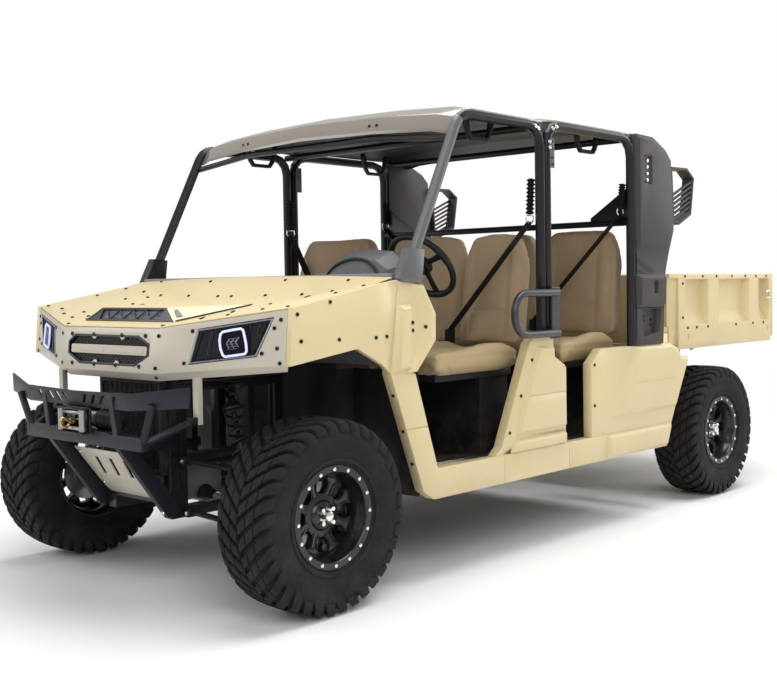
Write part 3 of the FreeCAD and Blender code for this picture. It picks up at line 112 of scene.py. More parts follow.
def surface_skin():
    """Colour, roughness and height of a coated or moulded skin: broad tone, fine grain, rubbed edges, low dust."""
    group, given, made = shader_group(
        "surface_skin",
        [("Colour", "NodeSocketColor", (0.5, 0.5, 0.5, 1)), ("Tone", "NodeSocketFloat", 0.06),
         ("Grain Scale", "NodeSocketFloat", 900.0), ("Roughness", "NodeSocketFloat", 0.5),
         ("Wear Colour", "NodeSocketColor", (0.6, 0.6, 0.6, 1)), ("Wear", "NodeSocketFloat", 0.3),
         ("Dust", "NodeSocketFloat", 0.3)],
        [("Colour", "NodeSocketColor"), ("Roughness", "NodeSocketFloat"), ("Height", "NodeSocketFloat")])
    link = group.links.new
    broad = noise_at(group, None, 2.2, 4.0, 0.6)
    tone = node_in(group, "ShaderNodeMath", operation="MULTIPLY_ADD")
    swing = ramp_of(group, broad.outputs["Fac"], 0.3, 0.7, -1.0, 1.0)
    link(swing, tone.inputs[0])
    link(given.outputs["Tone"], tone.inputs[1])
    tone.inputs[2].default_value = 1.0
    toned = node_in(group, "ShaderNodeVectorMath", operation="SCALE")
    link(given.outputs["Colour"], toned.inputs[0])
    link(tone.outputs[0], toned.inputs["Scale"])
    edge = node_in(group, "ShaderNodeNewGeometry")
    breakup = noise_at(group, None, 60.0, 5.0, 0.65)
    sharp = ramp_of(group, edge.outputs["Pointiness"], 0.53, 0.60)
    worn = node_in(group, "ShaderNodeMath", operation="MULTIPLY")
    link(sharp, worn.inputs[0])
    link(ramp_of(group, breakup.outputs["Fac"], 0.45, 0.62), worn.inputs[1])
    worn_by = node_in(group, "ShaderNodeMath", operation="MULTIPLY")
    link(worn.outputs[0], worn_by.inputs[0])
    link(given.outputs["Wear"], worn_by.inputs[1])
    rubbed = node_in(group, "ShaderNodeMix", data_type="RGBA")
    link(worn_by.outputs[0], rubbed.inputs["Factor"])
    link(toned.outputs[0], rubbed.inputs["A"])
    link(given.outputs["Wear Colour"], rubbed.inputs["B"])
    place = group.nodes.new("ShaderNodeTexCoord")
    height = group.nodes.new("ShaderNodeSeparateXYZ")
    link(place.outputs["Object"], height.inputs[0])
    low = ramp_of(group, height.outputs["Z"], 0.75, 0.15)
    dusty = node_in(group, "ShaderNodeMath", operation="MULTIPLY")
    link(low, dusty.inputs[0])
    link(ramp_of(group, noise_at(group, None, 9.0, 6.0, 0.7).outputs["Fac"], 0.4, 0.75), dusty.inputs[1])
    dust_by = node_in(group, "ShaderNodeMath", operation="MULTIPLY")
    link(dusty.outputs[0], dust_by.inputs[0])
    link(given.outputs["Dust"], dust_by.inputs[1])
    dusted = node_in(group, "ShaderNodeMix", data_type="RGBA")
    dusted.inputs["B"].default_value = (0.42, 0.34, 0.24, 1)
    link(dust_by.outputs[0], dusted.inputs["Factor"])
    link(rubbed.outputs["Result"], dusted.inputs["A"])
    grain = noise_at(group, given.outputs["Grain Scale"], 1.0, 2.0, 0.5)
    rough = node_in(group, "ShaderNodeMath", operation="MULTIPLY_ADD")
    link(ramp_of(group, grain.outputs["Fac"], 0.3, 0.7, -0.05, 0.05), rough.inputs[0])
    rough.inputs[1].default_value = 1.0
    link(given.outputs["Roughness"], rough.inputs[2])
    dull = node_in(group, "ShaderNodeMath", operation="MULTIPLY_ADD", use_clamp=True)
    link(dust_by.outputs[0], dull.inputs[0])
    dull.inputs[1].default_value = 0.35
    link(rough.outputs[0], dull.inputs[2])
    link(dusted.outputs["Result"], made.inputs["Colour"])
    link(dull.outputs[0], made.inputs["Roughness"])
    link(grain.outputs["Fac"], made.inputs["Height"])
    return group


skin_group = surface_skin()


def skin_material(name, colour, roughness, metallic=0.0, tone=0.05, grain=900.0, bump=0.05, wear_colour=None,
                  wear=0.25, dust=0.25, coat=0.0, specular=0.5):
    """A coated, moulded or bare hard finish, with the shared skin effect feeding its shader."""
    material = bpy.data.materials.new(name)
    material.use_nodes = True
    tree = material.node_tree
    shader = tree.nodes["Principled BSDF"]
    skin = tree.nodes.new("ShaderNodeGroup")
    skin.node_tree = skin_group
    values = {"Colour": (*colour, 1), "Tone": tone, "Grain Scale": grain, "Roughness": roughness,
              "Wear": wear,
              "Dust": dust, "Wear Colour": (*(wear_colour or [min(1, c * 1.6 + 0.05) for c in colour]), 1)}
    for label, value in values.items():
        skin.inputs[label].default_value = value
    bumped = tree.nodes.new("ShaderNodeBump")
    bumped.inputs["Strength"].default_value = bump
    bumped.inputs["Distance"].default_value = 0.001
    tree.links.new(skin.outputs["Colour"], shader.inputs["Base Color"])
    tree.links.new(skin.outputs["Roughness"], shader.inputs["Roughness"])
    tree.links.new(skin.outputs["Height"], bumped.inputs["Height"])
    tree.links.new(bumped.outputs["Normal"], shader.inputs["Normal"])
    shader.inputs["Metallic"].default_value = metallic
    shader.inputs["Coat Weight"].default_value = coat
    shader.inputs["Coat Roughness"].default_value = 0.08
    shader.inputs["Specular IOR Level"].default_value = specular
    return material


def finish_nodes(material, *names):
    """Gives carried-over CAD nodes their finish."""
    for name in names:
        mesh = cad[name].data
        mesh.materials.clear()
        mesh.materials.append(material)


sand_paint = skin_material("sand_paint", (0.665, 0.545, 0.305), 0.42, tone=0.035, grain=1400.0, bump=0.04,
                           wear_colour=(0.80, 0.68, 0.46), wear=0.08, dust=0.2, coat=0.15)


# Button-head bolts that hold the panels: blackened steel with a dished hexagon socket, and the same head in
# bright zinc on the rims, the cage joints and the frame. One bolt is modelled, and every place gets a copy.
def only(piece):
    """Selects one object alone and makes it the active one."""
    bpy.ops.object.select_all(action="DESELECT")
    piece.select_set(True)
    bpy.context.view_layer.objects.active = piece


def in_edit(piece, action="SELECT"):
    only(piece)
    bpy.ops.object.mode_set(mode="EDIT")
    bpy.ops.mesh.select_all(action=action)


def out_of_edit():
    """Turns all faces outward and leaves edit mode."""
    bpy.ops.mesh.select_all(action="SELECT")
    bpy.ops.mesh.normals_make_consistent(inside=False)
    bpy.ops.object.mode_set(mode="OBJECT")


def apply_all(piece):
    only(piece)
    for modifier in list(piece.modifiers):
        bpy.ops.object.modifier_apply(modifier=modifier.name)


def bevelled(piece, width, segments=2, angle=35):
    """Rounds a piece's edges."""
    edge = piece.modifiers.new("edges", "BEVEL")
    edge.width, edge.segments, edge.limit_method = width, segments, "ANGLE"
    edge.angle_limit = math.radians(angle)
    apply_all(piece)
    return piece


def smoothed(piece, angle=40):
    only(piece)
    bpy.ops.object.shade_smooth_by_angle(angle=math.radians(angle))
    return piece


def new_mesh(name, corners, edges=(), faces=()):
    mesh = bpy.data.meshes.new(name)
    mesh.from_pydata([tuple(corner) for corner in corners], list(edges), [list(face) for face in faces])
    piece = bpy.data.objects.new(name, mesh)
    bpy.context.scene.collection.objects.link(piece)
    return piece


def lathed(name, profile, centre=(0, 0, 0), axis=(0, 1, 0), steps=32, closed=True):
    """A turned shape from (distance along the axis, radius) points in millimetres."""
    axis = Vector(axis).normalized()
    aside = Vector((0, 0, 1)) if abs(axis.z) < 0.9 else Vector((1, 0, 0))
    aside = (aside - axis * axis.dot(aside)).normalized()
    corners = [Vector(centre) + axis * (a / 1000) + aside * (r / 1000) for a, r in profile]
    edges = [(index, index + 1) for index in range(len(corners) - 1)]
    if closed:
        edges.append((len(corners) - 1, 0))
    piece = new_mesh(name, corners, edges)
    in_edit(piece)
    bpy.ops.mesh.spin(steps=steps, angle=2 * math.pi, center=centre, axis=axis)
    bpy.ops.mesh.select_all(action="SELECT")
    bpy.ops.mesh.remove_doubles(threshold=1e-5)
    out_of_edit()
    return piece


def pulled(name, corners, run):
    """A plate from one outline of corners, extruded along a run."""
    piece = new_mesh(name, corners, faces=[range(len(corners))])
    in_edit(piece)
    bpy.ops.mesh.extrude_region_move(TRANSFORM_OT_translate={"value": tuple(run)})
    out_of_edit()
    return piece


def block(name, low, high):
    """A rectangular block between two corners."""
    x, y, z = high - low
    return pulled(name, [low, low + Vector((x, 0, 0)), low + Vector((x, y, 0)), low + Vector((0, y, 0))],
                  (0, 0, z))


def tubed(name, points, radius, cyclic=False, sides=3, smooth=False):
    """A round bar along a line of points, radius in millimetres."""
    curve = bpy.data.curves.new(name, "CURVE")
    curve.dimensions = "3D"
    spline = curve.splines.new("NURBS" if smooth else "POLY")
    spline.points.add(len(points) - 1)
    for point, place in zip(spline.points, points):
        point.co = (*place, 1)
    spline.use_cyclic_u = cyclic
    if smooth:
        spline.order_u, spline.use_endpoint_u = 3, not cyclic
    curve.bevel_depth, curve.bevel_resolution, curve.use_fill_caps = radius / 1000, sides, True
    piece = bpy.data.objects.new(name, curve)
    bpy.context.scene.collection.objects.link(piece)
    only(piece)
    bpy.ops.object.convert(target="MESH")
    return smoothed(bpy.context.object, 50)


def joined(name, pieces):
    """One piece from several."""
    bpy.ops.object.select_all(action="DESELECT")
    for piece in pieces:
        piece.select_set(True)
    bpy.context.view_layer.objects.active = pieces[0]
    bpy.ops.object.join()
    pieces[0].name = name
    return pieces[0]


def copies(name, pattern, places, keep=False):
    """One mesh of a small part's copies, each turned from +Z to its own direction."""
    made = []
    for point, out in places:
        copy = pattern.copy()
        copy.data = pattern.data.copy()
        turn = Vector((0, 0, 1)).rotation_difference(Vector(out)).to_matrix().to_4x4()
        copy.data.transform(Matrix.Translation(point) @ turn)
        bpy.context.scene.collection.objects.link(copy)
        made.append(copy)
    if not keep:
        bpy.data.objects.remove(pattern)
    return joined(name, made)


def mirrored(piece, name=None):
    """The same piece on the other side of the vehicle."""
    copy = piece.copy()
    copy.data = piece.data.copy()
    copy.data.transform(Matrix.Scale(-1, 4, (0, 1, 0)))
    copy.name = name or piece.name + "_right"
    bpy.context.scene.collection.objects.link(copy)
    in_edit(copy)
    bpy.ops.mesh.flip_normals()
    bpy.ops.object.mode_set(mode="OBJECT")
    return copy


def fitted(piece, material, body, slot, *nodes):
    """Gives a piece its finish, its body and the nodes it stands for; its slot is not used."""
    if material is not None:
        piece.data.materials.clear()
        piece.data.materials.append(material)
    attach(piece, body)
    if nodes:
        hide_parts(*nodes)
    return piece


def bolt_head(radius, height):
    """A domed head with a hexagon socket, standing on the origin."""
    bpy.ops.object.select_all(action="DESELECT")
    bpy.ops.mesh.primitive_cylinder_add(vertices=12, radius=radius, depth=height, location=(0, 0, height / 2))
    head = bpy.context.object
    head.data.transform(head.matrix_world)
    head.matrix_world = Matrix.Identity(4)
    in_edit(head, "DESELECT")
    bpy.ops.object.mode_set(mode="OBJECT")
    for face in head.data.polygons:
        face.select = face.normal.z > 0.9
    bpy.ops.object.mode_set(mode="EDIT")
    bpy.ops.mesh.select_mode(type="FACE")
    bpy.ops.mesh.bevel(offset=height * 0.45, segments=2, affect="EDGES")
    bpy.ops.object.mode_set(mode="OBJECT")
    top = max(head.data.polygons, key=lambda face: face.center.z * 1000 + face.area)
    for face in head.data.polygons:
        face.select = face.index == top.index
    bpy.ops.object.mode_set(mode="EDIT")
    bpy.ops.mesh.inset(thickness=radius * 0.28, depth=0)
    bpy.ops.mesh.extrude_region_move(TRANSFORM_OT_translate={"value": (0, 0, -height * 0.5)})
    out_of_edit()
    return smoothed(head, 35)


skins = {}


def on_face(node, start, toward):
    """Where a line meets a node's surface, and the way that surface faces."""
    if node not in skins:
        mesh = cad[node].data
        skins[node] = BVHTree.FromPolygons([vertex.co for vertex in mesh.vertices],
                                           [face.vertices for face in mesh.polygons])
    place, normal, index, distance = skins[node].ray_cast(Vector(start), Vector(toward).normalized())
    if place is None:
        raise ValueError(node + " isn't met from " + str(tuple(start)))
    return place, normal


def from_side(node, places, side):
    """Places given ahead of the front axle and above the ground, met from the left or right."""
    return [on_face(node, at(x, side * 1400, z), (0, -side, 0)) for x, z in places]


def from_front(node, places, side):
    """Places given to the left and above the ground, met from ahead."""
    return [on_face(node, at(900, side * y, z), (-1, 0, 0)) for y, z in places]


def from_above(node, places, side):
    """Places given ahead of the front axle and to the left, met from above."""
    return [on_face(node, at(x, side * y, 2400), (0, 0, -1)) for x, y in places]


bolt_black = skin_material("bolt_black", (0.02, 0.02, 0.021), 0.35, metallic=0.7, grain=400.0, bump=0.05,
                           wear=0.5,
                           wear_colour=(0.2, 0.2, 0.2), dust=0.1)
bolt_bright = skin_material("bolt_bright", (0.78, 0.77, 0.74), 0.22, metallic=1.0, grain=400.0, bump=0.03,
                            wear=0.2,
                            dust=0.2)
# node, how it is met, places
bolt_rows = [
    ("hood", from_above, [(-211, 45), (-216, 256), (-222, 470), (-238, 625), (-249, 785), (-70, 460),
                          (-125, 602),
                          (-100, 790), (-198, 537), (64, 406), (144, 500), (190, 391), (145, 673), (236, 437),
                          (206, 553), (138, 800), (321, 322), (-330, 250), (-330, 620)]),
    ("nose_panel", from_front, [(327, 1004), (318, 887), (464, 1022), (435, 907), (804, 1062), (781, 1033),
                                (795, 963), (738, 945), (808, 912), (308, 853)]),
    ("front_fenders", from_side, [(125, 986), (-56, 984), (-244, 983), (-301, 985), (-15, 1120),
                                  (140, 1080)]),
    ("cowl_pods", from_side, [(-445, 1032), (-445, 1002), (-508, 1014)]),
    ("body_sills", from_front, [(830, 757), (830, 615), (830, 483)]),
    ("centre_posts", from_side, [(-1209, 843), (-1127, 692), (-1045, 540)]),
    ("rear_quarters", from_side, [(-1700, 597), (-1700, 790)]),
    ("rear_cap", from_side, [(-2250, 985), (-2250, 960), (-2180, 985), (-2180, 1005)]),
    ("roof_front", from_front, [(402, 1850), (442, 1850)]),
]
bolts = []
head = bolt_head(0.0074, 0.0045)
for node, met_from, places in bolt_rows:
    spots = [spot for side in (1, -1) for spot in met_from(node, places, side)]
    bolts.append(copies("bolts_" + node, head, spots, keep=True))
for group in bolts:
    fitted(group, bolt_black, "chassis", "frame_black")
spots = [spot for side in (1, -1) for spot in from_side("bed_sides", [(-2677, 1166), (-2677, 982)], side)]
spots += [spot for side in (1, -1) for spot in from_side("bed_sides", [
    (-2700, 1205), (-2900, 1205), (-3060, 1205), (-3250, 1205), (-3420, 1205), (-3560, 1205), (-3700, 1205),
    (-2730, 925), (-2830, 925), (-2960, 925), (-3300, 925), (-3520, 925), (-3660, 925)], side)]
fitted(copies("bolts_bed", head, spots), bolt_black, "bed", "frame_black")
bright_rows = [
    ("cage_front", from_side, [(-1236, 1858), (-1260, 1850)]),
    ("cage_rear", from_side, [(-1368, 1860), (-1392, 1870), (-1341, 1800), (-1341, 1776)]),
    ("skid_plate", from_front, [(178, 545), (178, 410)]),
    ("front_bumper", from_front, [(232, 335)]),
    ("rear_cap", from_side, [(-2163, 1682), (-2163, 1714), (-2163, 1746), (-2163, 1778)]),
]
head = bolt_head(0.0095, 0.007)
for node, met_from, places in bright_rows:
    spots = [spot for side in (1, -1) for spot in met_from(node, places, side)]
    fitted(copies("bright_bolts_" + node, head, spots, keep=True), bolt_bright, "chassis", "alloy")
spots = []
for axle in (at(0, 0, 0).x, at_rear(0, 0, 0).x):
    for side in (1, -1):
        for spread, height in ((150, 320), (165, 520)):
            for end in (1, -1):
                spots.append((Vector((axle + end * (spread + 24) / 1000, side * 0.2353, height / 1000)),
                              (end, 0, 0)))
fitted(copies("arm_pivot_bolts", head, spots), bolt_bright, "chassis", "alloy")


# Tyres: all-terrain rubber, moulded with three rows of chevron blocks a side that wrap down the shoulder. A
# spun carcass carries one modelled row of blocks, copied round the wheel; each tyre sits on its rim's beads.
def swept_block(name, section, lead, width):
    """A tread block: an outline of (across, radius), bounded by two swept sides of the wheel's circle."""
    corners = []
    for edge in (-1, 1):
        for across, radius in section:
            narrow = 2.0 if radius > 345 else 0.0
            turn = (lead(across) + edge * (width / 2 - narrow)) / radius
            corners.append((radius * math.sin(turn) / 1000, across / 1000, radius * math.cos(turn) / 1000))
    count = len(section)
    faces = [range(count), range(2 * count - 1, count - 1, -1)]
    faces += [(i, i + count, (i + 1) % count + count, (i + 1) % count) for i in range(count)]
    return new_mesh(name, corners, faces=faces)


def chevron_row(name, foot):
    """The three blocks of one tread bar, from the crown to the shoulder."""
    sections = [[(3.5, 334), (3.5, 353.6), (38, 353.2), (38, 334)],
                [(44, 334), (44, 353), (80, 351.6), (80, 332)],
                [(86, 328), (86, 351), (111, 348), (123, 337), (126.6, 320), (126.4, foot), (119, foot - 6),
                 (108, 322)]]
    blocks = [swept_block(name, section, lambda across: -0.78 * across, width)
              for section, width in zip(sections, (42, 44, 40))]
    row = joined(name, blocks)
    in_edit(row)
    out_of_edit()
    return bevelled(row, 0.0022, 2, 30)


def turned_copies(pattern, turns):
    """Copies of a piece turned round the wheel's axis, in radians."""
    made = []
    for turn in turns:
        copy = pattern.copy()
        copy.data = pattern.data.copy()
        copy.data.transform(Matrix.Rotation(turn, 4, "Y"))
        bpy.context.scene.collection.objects.link(copy)
        made.append(copy)
    return made


def at_wheel(pattern, name, corner):
    """A copy of a wheel piece, modelled round the origin with +Y outward, in its place on the vehicle."""
    centre = middle("rim_" + corner)
    side = 1 if corner.endswith("l") else -1
    place = Vector((centre.x, side * wheel_y, axle_height))
    copy = pattern.copy()
    copy.data = pattern.data.copy()
    copy.name = name + "_" + corner
    bpy.context.scene.collection.objects.link(copy)
    copy.data.transform(Matrix.Translation(place) @ Matrix.Diagonal((1, side, 1, 1)))
    if side < 0:
        in_edit(copy)
        bpy.ops.mesh.flip_normals()
        bpy.ops.object.mode_set(mode="OBJECT")
    return copy


def rubber_material():
    """Dusty black rubber: bump rings on the sidewall, worn lighter on the crown."""
    material = skin_material("rubber", (0.0095, 0.0095, 0.0100), 0.75, specular=0.22, tone=0.18, grain=260.0,
                             bump=0.25,
                             wear_colour=(0.035, 0.033, 0.030), wear=0.5, dust=0.07)
    tree = material.node_tree
    shader = tree.nodes["Principled BSDF"]
    ring_map = tree.nodes.new("ShaderNodeAttribute")
    ring_map.attribute_name = "round_wheel"
    split = tree.nodes.new("ShaderNodeSeparateXYZ")
    tree.links.new(ring_map.outputs["Vector"], split.inputs[0])
    rings = node_in(tree, "ShaderNodeMath", operation="SINE")
    scaled = node_in(tree, "ShaderNodeMath", operation="MULTIPLY")
    scaled.inputs[1].default_value = 2 * math.pi / 0.011
    tree.links.new(split.outputs["Z"], scaled.inputs[0])
    tree.links.new(scaled.outputs[0], rings.inputs[0])
    wall = ramp_of(tree, split.outputs["Z"], 0.292, 0.286)
    ringed = node_in(tree, "ShaderNodeMath", operation="MULTIPLY")
    tree.links.new(ramp_of(tree, rings.outputs[0], 0.3, 0.9), ringed.inputs[0])
    tree.links.new(wall, ringed.inputs[1])
    second = tree.nodes.new("ShaderNodeBump")
    second.inputs["Strength"].default_value = 0.7
    second.inputs["Distance"].default_value = 0.0016
    first = next(node for node in tree.nodes if node.type == "BUMP" and node is not second)
    tree.links.new(ringed.outputs[0], second.inputs["Height"])
    tree.links.new(first.outputs["Normal"], second.inputs["Normal"])
    tree.links.new(second.outputs["Normal"], shader.inputs["Normal"])
    return material


def wheel_map(piece):
    """Stores each vertex's angle, place across and radius round the wheel's axis, for the rubber's rings."""
    store = piece.data.attributes.new("round_wheel", "FLOAT_VECTOR", "POINT")
    for vertex, value in zip(piece.data.vertices, store.data):
        x, y, z = vertex.co
        value.vector = (math.atan2(x, z), y, math.hypot(x, z))


rubber = rubber_material()
wall_side = [(100, 180), (106, 190), (117, 215), (124, 245), (126.4, 268), (125.4, 288), (120, 308),
             (112, 322), (96, 333),
             (60, 338.5), (20, 340)]
carcass = lathed("tyre", wall_side + [(-a, r) for a, r in reversed(wall_side)] + [(-94, 178), (94, 178)],
                 steps=96)
smoothed(carcass, 40)
long_row, short_row = chevron_row("long_row", 292), chevron_row("short_row", 308)
bars = turned_copies(long_row, [math.radians(20 * k) for k in range(18)])
bars += turned_copies(short_row, [math.radians(20 * k + 10) for k in range(18)])
left_bars = joined("bars", bars)
right_bars = mirrored(left_bars, "bars_inner")
right_bars.data.transform(Matrix.Rotation(math.radians(5), 4, "Y"))
guard = lathed("rim_guard", [(108, 196), (118, 200), (120.5, 206), (119, 212), (110, 214)], steps=96)
tyre = joined("tyre", [carcass, left_bars, right_bars, smoothed(guard, 40)])
wheel_map(tyre)
smoothed(tyre, 32)
for spare in (long_row, short_row):
    bpy.data.objects.remove(spare)
for corner in ("fl", "fr", "rl", "rr"):
    fitted(at_wheel(tyre, "tyre", corner), rubber, "wheel_" + corner, "tyre", "tyre_" + corner)
bpy.data.objects.remove(tyre)

# Rims: cast alloy painted gloss black, a deep dish with eight waisted spokes on a recessed face and a bolted
# outer ring. The barrel and ring are spun, one spoke is modelled and copied; four nuts hold it to the hub.
rim_black = skin_material("rim_black", (0.006, 0.006, 0.007), 0.25, grain=700.0, bump=0.03, wear=0.1,
                          wear_colour=(0.06, 0.058, 0.055), dust=0.04, coat=0.25, specular=0.35)
barrel = lathed("rim", [(106, 188), (108, 186), (108, 163), (104, 159), (96, 158), (80, 150), (56, 141),
                        (30, 137), (18, 140),
                        (4, 158), (-70, 162), (-100, 172), (-108, 182), (-108, 188), (-102, 188), (-96, 180),
                        (-60, 170), (0, 168), (70, 177),
                        (98, 181), (101, 188)], steps=96)
hub = lathed("rim_hub", [(56, 0), (56, 44), (52, 50), (44, 56), (40, 78), (34, 80), (10, 80), (4, 74),
                         (4, 0)], steps=64,
             closed=False)
spoke = pulled("rim_spoke", [Vector((t / 1000, 0.012, r / 1000)) for t, r in (
    (-24, 66), (-16, 84), (-14, 100), (-18, 117), (-31, 132), (-30, 136.5), (0, 140), (30, 136.5), (31, 132),
    (18, 117),
    (14, 100), (16, 84), (24, 66))], (0, 0.026, 0))
for vertex in spoke.data.vertices:
    if vertex.co.y > 0.03:
        vertex.co.y += 0.014 * max(0.0, (vertex.co.z - 0.066) / 0.074)
bevelled(spoke, 0.003, 2, 30)
groove = []
for turn in (1, -1):
    rib = pulled("rim_rib", [Vector((turn * t / 1000, 0.032 + 0.014 * (r - 66) / 74, r / 1000)) for t, r in (
        (11, 70), (7, 86), (7, 102), (12, 122), (16, 122), (12, 102), (11.5, 86), (16, 70))], (0, 0.011, 0))
    groove.append(bevelled(rib, 0.0015, 1, 30))
spoke = joined("rim_spoke", [spoke] + groove)
rim = joined("rim", [barrel, hub] + turned_copies(spoke, [math.radians(45 * k + 22.5) for k in range(8)]))
smoothed(rim, 38)
bpy.data.objects.remove(spoke)
ring_head = bolt_head(0.0078, 0.006)
ring_bolts = copies("rim_bolts", ring_head, [
    (Vector((0.173 * math.sin(a), 0.108, 0.173 * math.cos(a))), (0, 1, 0))
    for a in [math.radians(22.5 * k) for k in range(16)]])
nut = lathed("nut", [(56, 0), (78, 0), (78, 8), (74, 11), (58, 12.5), (56, 14)], steps=6, closed=False)
nuts = turned_copies(nut, [0])
nuts[0].data.transform(Matrix.Translation((0, 0, 0.034)))
hub_nuts = turned_copies(nuts[0], [math.radians(45 + 90 * k) for k in range(4)])
for spare in (nut, nuts[0]):
    bpy.data.objects.remove(spare)
cap = lathed("hub_cap", [(52, 0), (90, 0), (90, 8), (86, 17), (80, 21), (56, 23.5), (52, 25)], steps=40,
             closed=False)
bright_wheel = smoothed(joined("rim_bolts", [ring_bolts] + hub_nuts + [smoothed(cap, 30)]), 35)
for corner in ("fl", "fr", "rl", "rr"):
    fitted(at_wheel(rim, "rim", corner), rim_black, "wheel_" + corner, "rim_black", "rim_" + corner)
    fitted(at_wheel(bright_wheel, "rim_bolts", corner), bolt_bright, "wheel_" + corner, "alloy")
for spare in (rim, bright_wheel):
    bpy.data.objects.remove(spare)


# Nose: the grille is a black pressed frame over expanded mesh, with a bare sand bar across it and eight bolt
# tabs on its edge. All of it is bolted behind the opening in the sand nose panel. The bar, the tabs, the nose
# panel and the skid plate take a greyer, darker copy of the sand paint: painted shade on the front faces.
def panel(y, z, out=0.0):
    """A place on the nose panel's middle facet, or in front of it."""
    return at(342 + (1030 - z) * 17 / 164 + out, y, z)


def ringed(name, outline, width, run):
    """A frame along an outline: the face is inset, its middle taken out and the rest extruded."""
    piece = new_mesh(name, outline, faces=[range(len(outline))])
    in_edit(piece)
    bpy.ops.mesh.inset(thickness=width / 1000, depth=0.0)
    bpy.ops.mesh.delete(type="FACE")
    bpy.ops.mesh.select_all(action="SELECT")
    bpy.ops.mesh.extrude_region_move(TRANSFORM_OT_translate={"value": tuple(run)})
    out_of_edit()
    return piece


def strut(name, start, end, width, depth, face=(1, 0, 0)):
    """A flat bar from one place to another, width in its face and depth behind it, in millimetres."""
    along = (end - start).normalized()
    face = Vector(face).normalized()
    aside = face.cross(along).normalized() * (width / 2000)
    return pulled(name, [start + aside, end + aside, end - aside, start - aside], face * (-depth / 1000))


def mesh_bars(outline, pitch, slope):
    """Where slanted lines cross a convex outline of (y, z), as pairs of ends."""
    ends = []
    reach = 900
    for step in range(-int(reach / pitch), int(reach / pitch)):
        crossings = []
        for (y1, z1), (y2, z2) in zip(outline, outline[1:] + outline[:1]):
            f1, f2 = z1 - slope * y1 - step * pitch - 950, z2 - slope * y2 - step * pitch - 950
            if f1 * f2 < 0:
                share = f1 / (f1 - f2)
                crossings.append((y1 + share * (y2 - y1), z1 + share * (z2 - z1)))
        if len(crossings) == 2:
            ends.append(crossings)
    return ends


# A greyer, darker copy of the sand paint for the nose panel, grille bar, grille tabs and skid plate: painted shade
# on the front faces, not a different paint.
nose_paint = skin_material("nose_paint", (0.545, 0.50, 0.405), 0.4, tone=0.03, grain=1400.0, bump=0.04,
                           wear_colour=(0.74, 0.67, 0.52), wear=0.08, dust=0.2, coat=0.2)
trim_black = skin_material("trim_black", (0.006, 0.006, 0.008), 0.32, specular=0.3, tone=0.06, grain=900.0,
                           bump=0.05, wear=0.3,
                           wear_colour=(0.07, 0.07, 0.07), dust=0.1, coat=0.3)
grille_outline = [(-232, 1004), (204, 1004), (277, 975), (277, 930), (190, 888), (-190, 888), (-277, 926),
                  (-277, 975)]
frame_ring = ringed("grille_frame", [panel(y, z, 1.5) for y, z in grille_outline], 9, (-0.014, 0, 0))
fitted(bevelled(frame_ring, 0.0015), trim_black, "chassis", "grille_black")
bars = [strut("mesh_bar", panel(y1, z1, -9), panel(y2, z2, -9), 2.6, 2)
        for slope in (0.62, -0.62) for (y1, z1), (y2, z2) in mesh_bars(grille_outline, 15.5, slope)]
fitted(joined("grille_mesh", bars), trim_black, "chassis", "grille_black")
bar = pulled("grille_bar", [panel(y, z, -1) for y, z in (
    (-250, 930), (250, 930), (256, 936), (256, 958), (250, 964), (-250, 964), (-256, 958), (-256, 936))],
    (-0.004, 0, 0))
for low, high, start, end in ((938, 956, -238, -24), (938, 956, 24, 238)):
    rib = pulled("bar_rib", [panel(y, z, 1) for y, z in ((start, low), (end, low), (end, high),
                                                         (start, high))],
                 (-0.0025, 0, 0))
    bar = joined("grille_bar", [bar, bevelled(rib, 0.001, 1)])
fitted(bevelled(bar, 0.0012), nose_paint, "chassis", "body_sand")
tab_spots = [(y, 1003) for y in (-251, -96, 97, 250)] + [(y, 890) for y in (-238, -82, 66, 220)]
tabs = [lathed("tab", [(-3, 0), (0.8, 0), (0.8, 15), (-0.2, 17), (-3, 17)], panel(y, z), (1, 0, 0.1), 24,
               closed=False)
        for y, z in tab_spots]
fitted(smoothed(joined("grille_tabs", tabs), 30), nose_paint, "chassis", "body_sand")
small_head = bolt_head(0.0085, 0.005)
tab_bolts = copies("grille_bolts", small_head, [(panel(y, z, 0.8), (1, 0, 0.1)) for y, z in tab_spots])
fitted(tab_bolts, bolt_black, "chassis", "frame_black")

# Lamps: a gloss black reflector box behind a clear cover, with a bright bezel line round it, a blue-white
# light ring with bowed sides and three small chevrons inside. They are clipped behind the nose panel.
def lamp_at(y, z, out=0.0):
    place, normal = on_face("headlamps", at(900, y, z), (-1, 0, 0))
    return place + normal * (out / 1000)


light_ring_white = bpy.data.materials.new("light_ring_white")
light_ring_white.use_nodes = True
ring_shader = light_ring_white.node_tree.nodes["Principled BSDF"]
ring_shader.inputs["Base Color"].default_value = (0.62, 0.68, 0.95, 1)
ring_shader.inputs["Emission Color"].default_value = (0.55, 0.62, 1.0, 1)
ring_shader.inputs["Emission Strength"].default_value = 0.45
ring_shader.inputs["Roughness"].default_value = 0.2
lens_grey = skin_material("lens_grey", (0.30, 0.32, 0.38), 0.18, metallic=0.8, grain=300.0, bump=0.02,
                          wear=0.0, dust=0.0,
                          coat=0.5)
lamp_box = skin_material("lamp_box", (0.004, 0.004, 0.008), 0.3, grain=200.0, bump=0.01, wear=0.0, dust=0.0,
                         specular=0.15)
facing = on_face("headlamps", at(900, 620, 985), (-1, 0, 0))[1]
bezel = ringed("lamp_bezel", [lamp_at(y, z, 0.5) for y,
                              z in ((484, 1027), (775, 1068), (716, 935), (453, 904))], 5,
               facing * 0.006)
inner_frame = ringed("lamp_frame", [lamp_at(y, z, 0.3) for y,
                                    z in ((500, 1019), (752, 1054), (704, 945), (470, 916))], 3,
                     facing * 0.003)
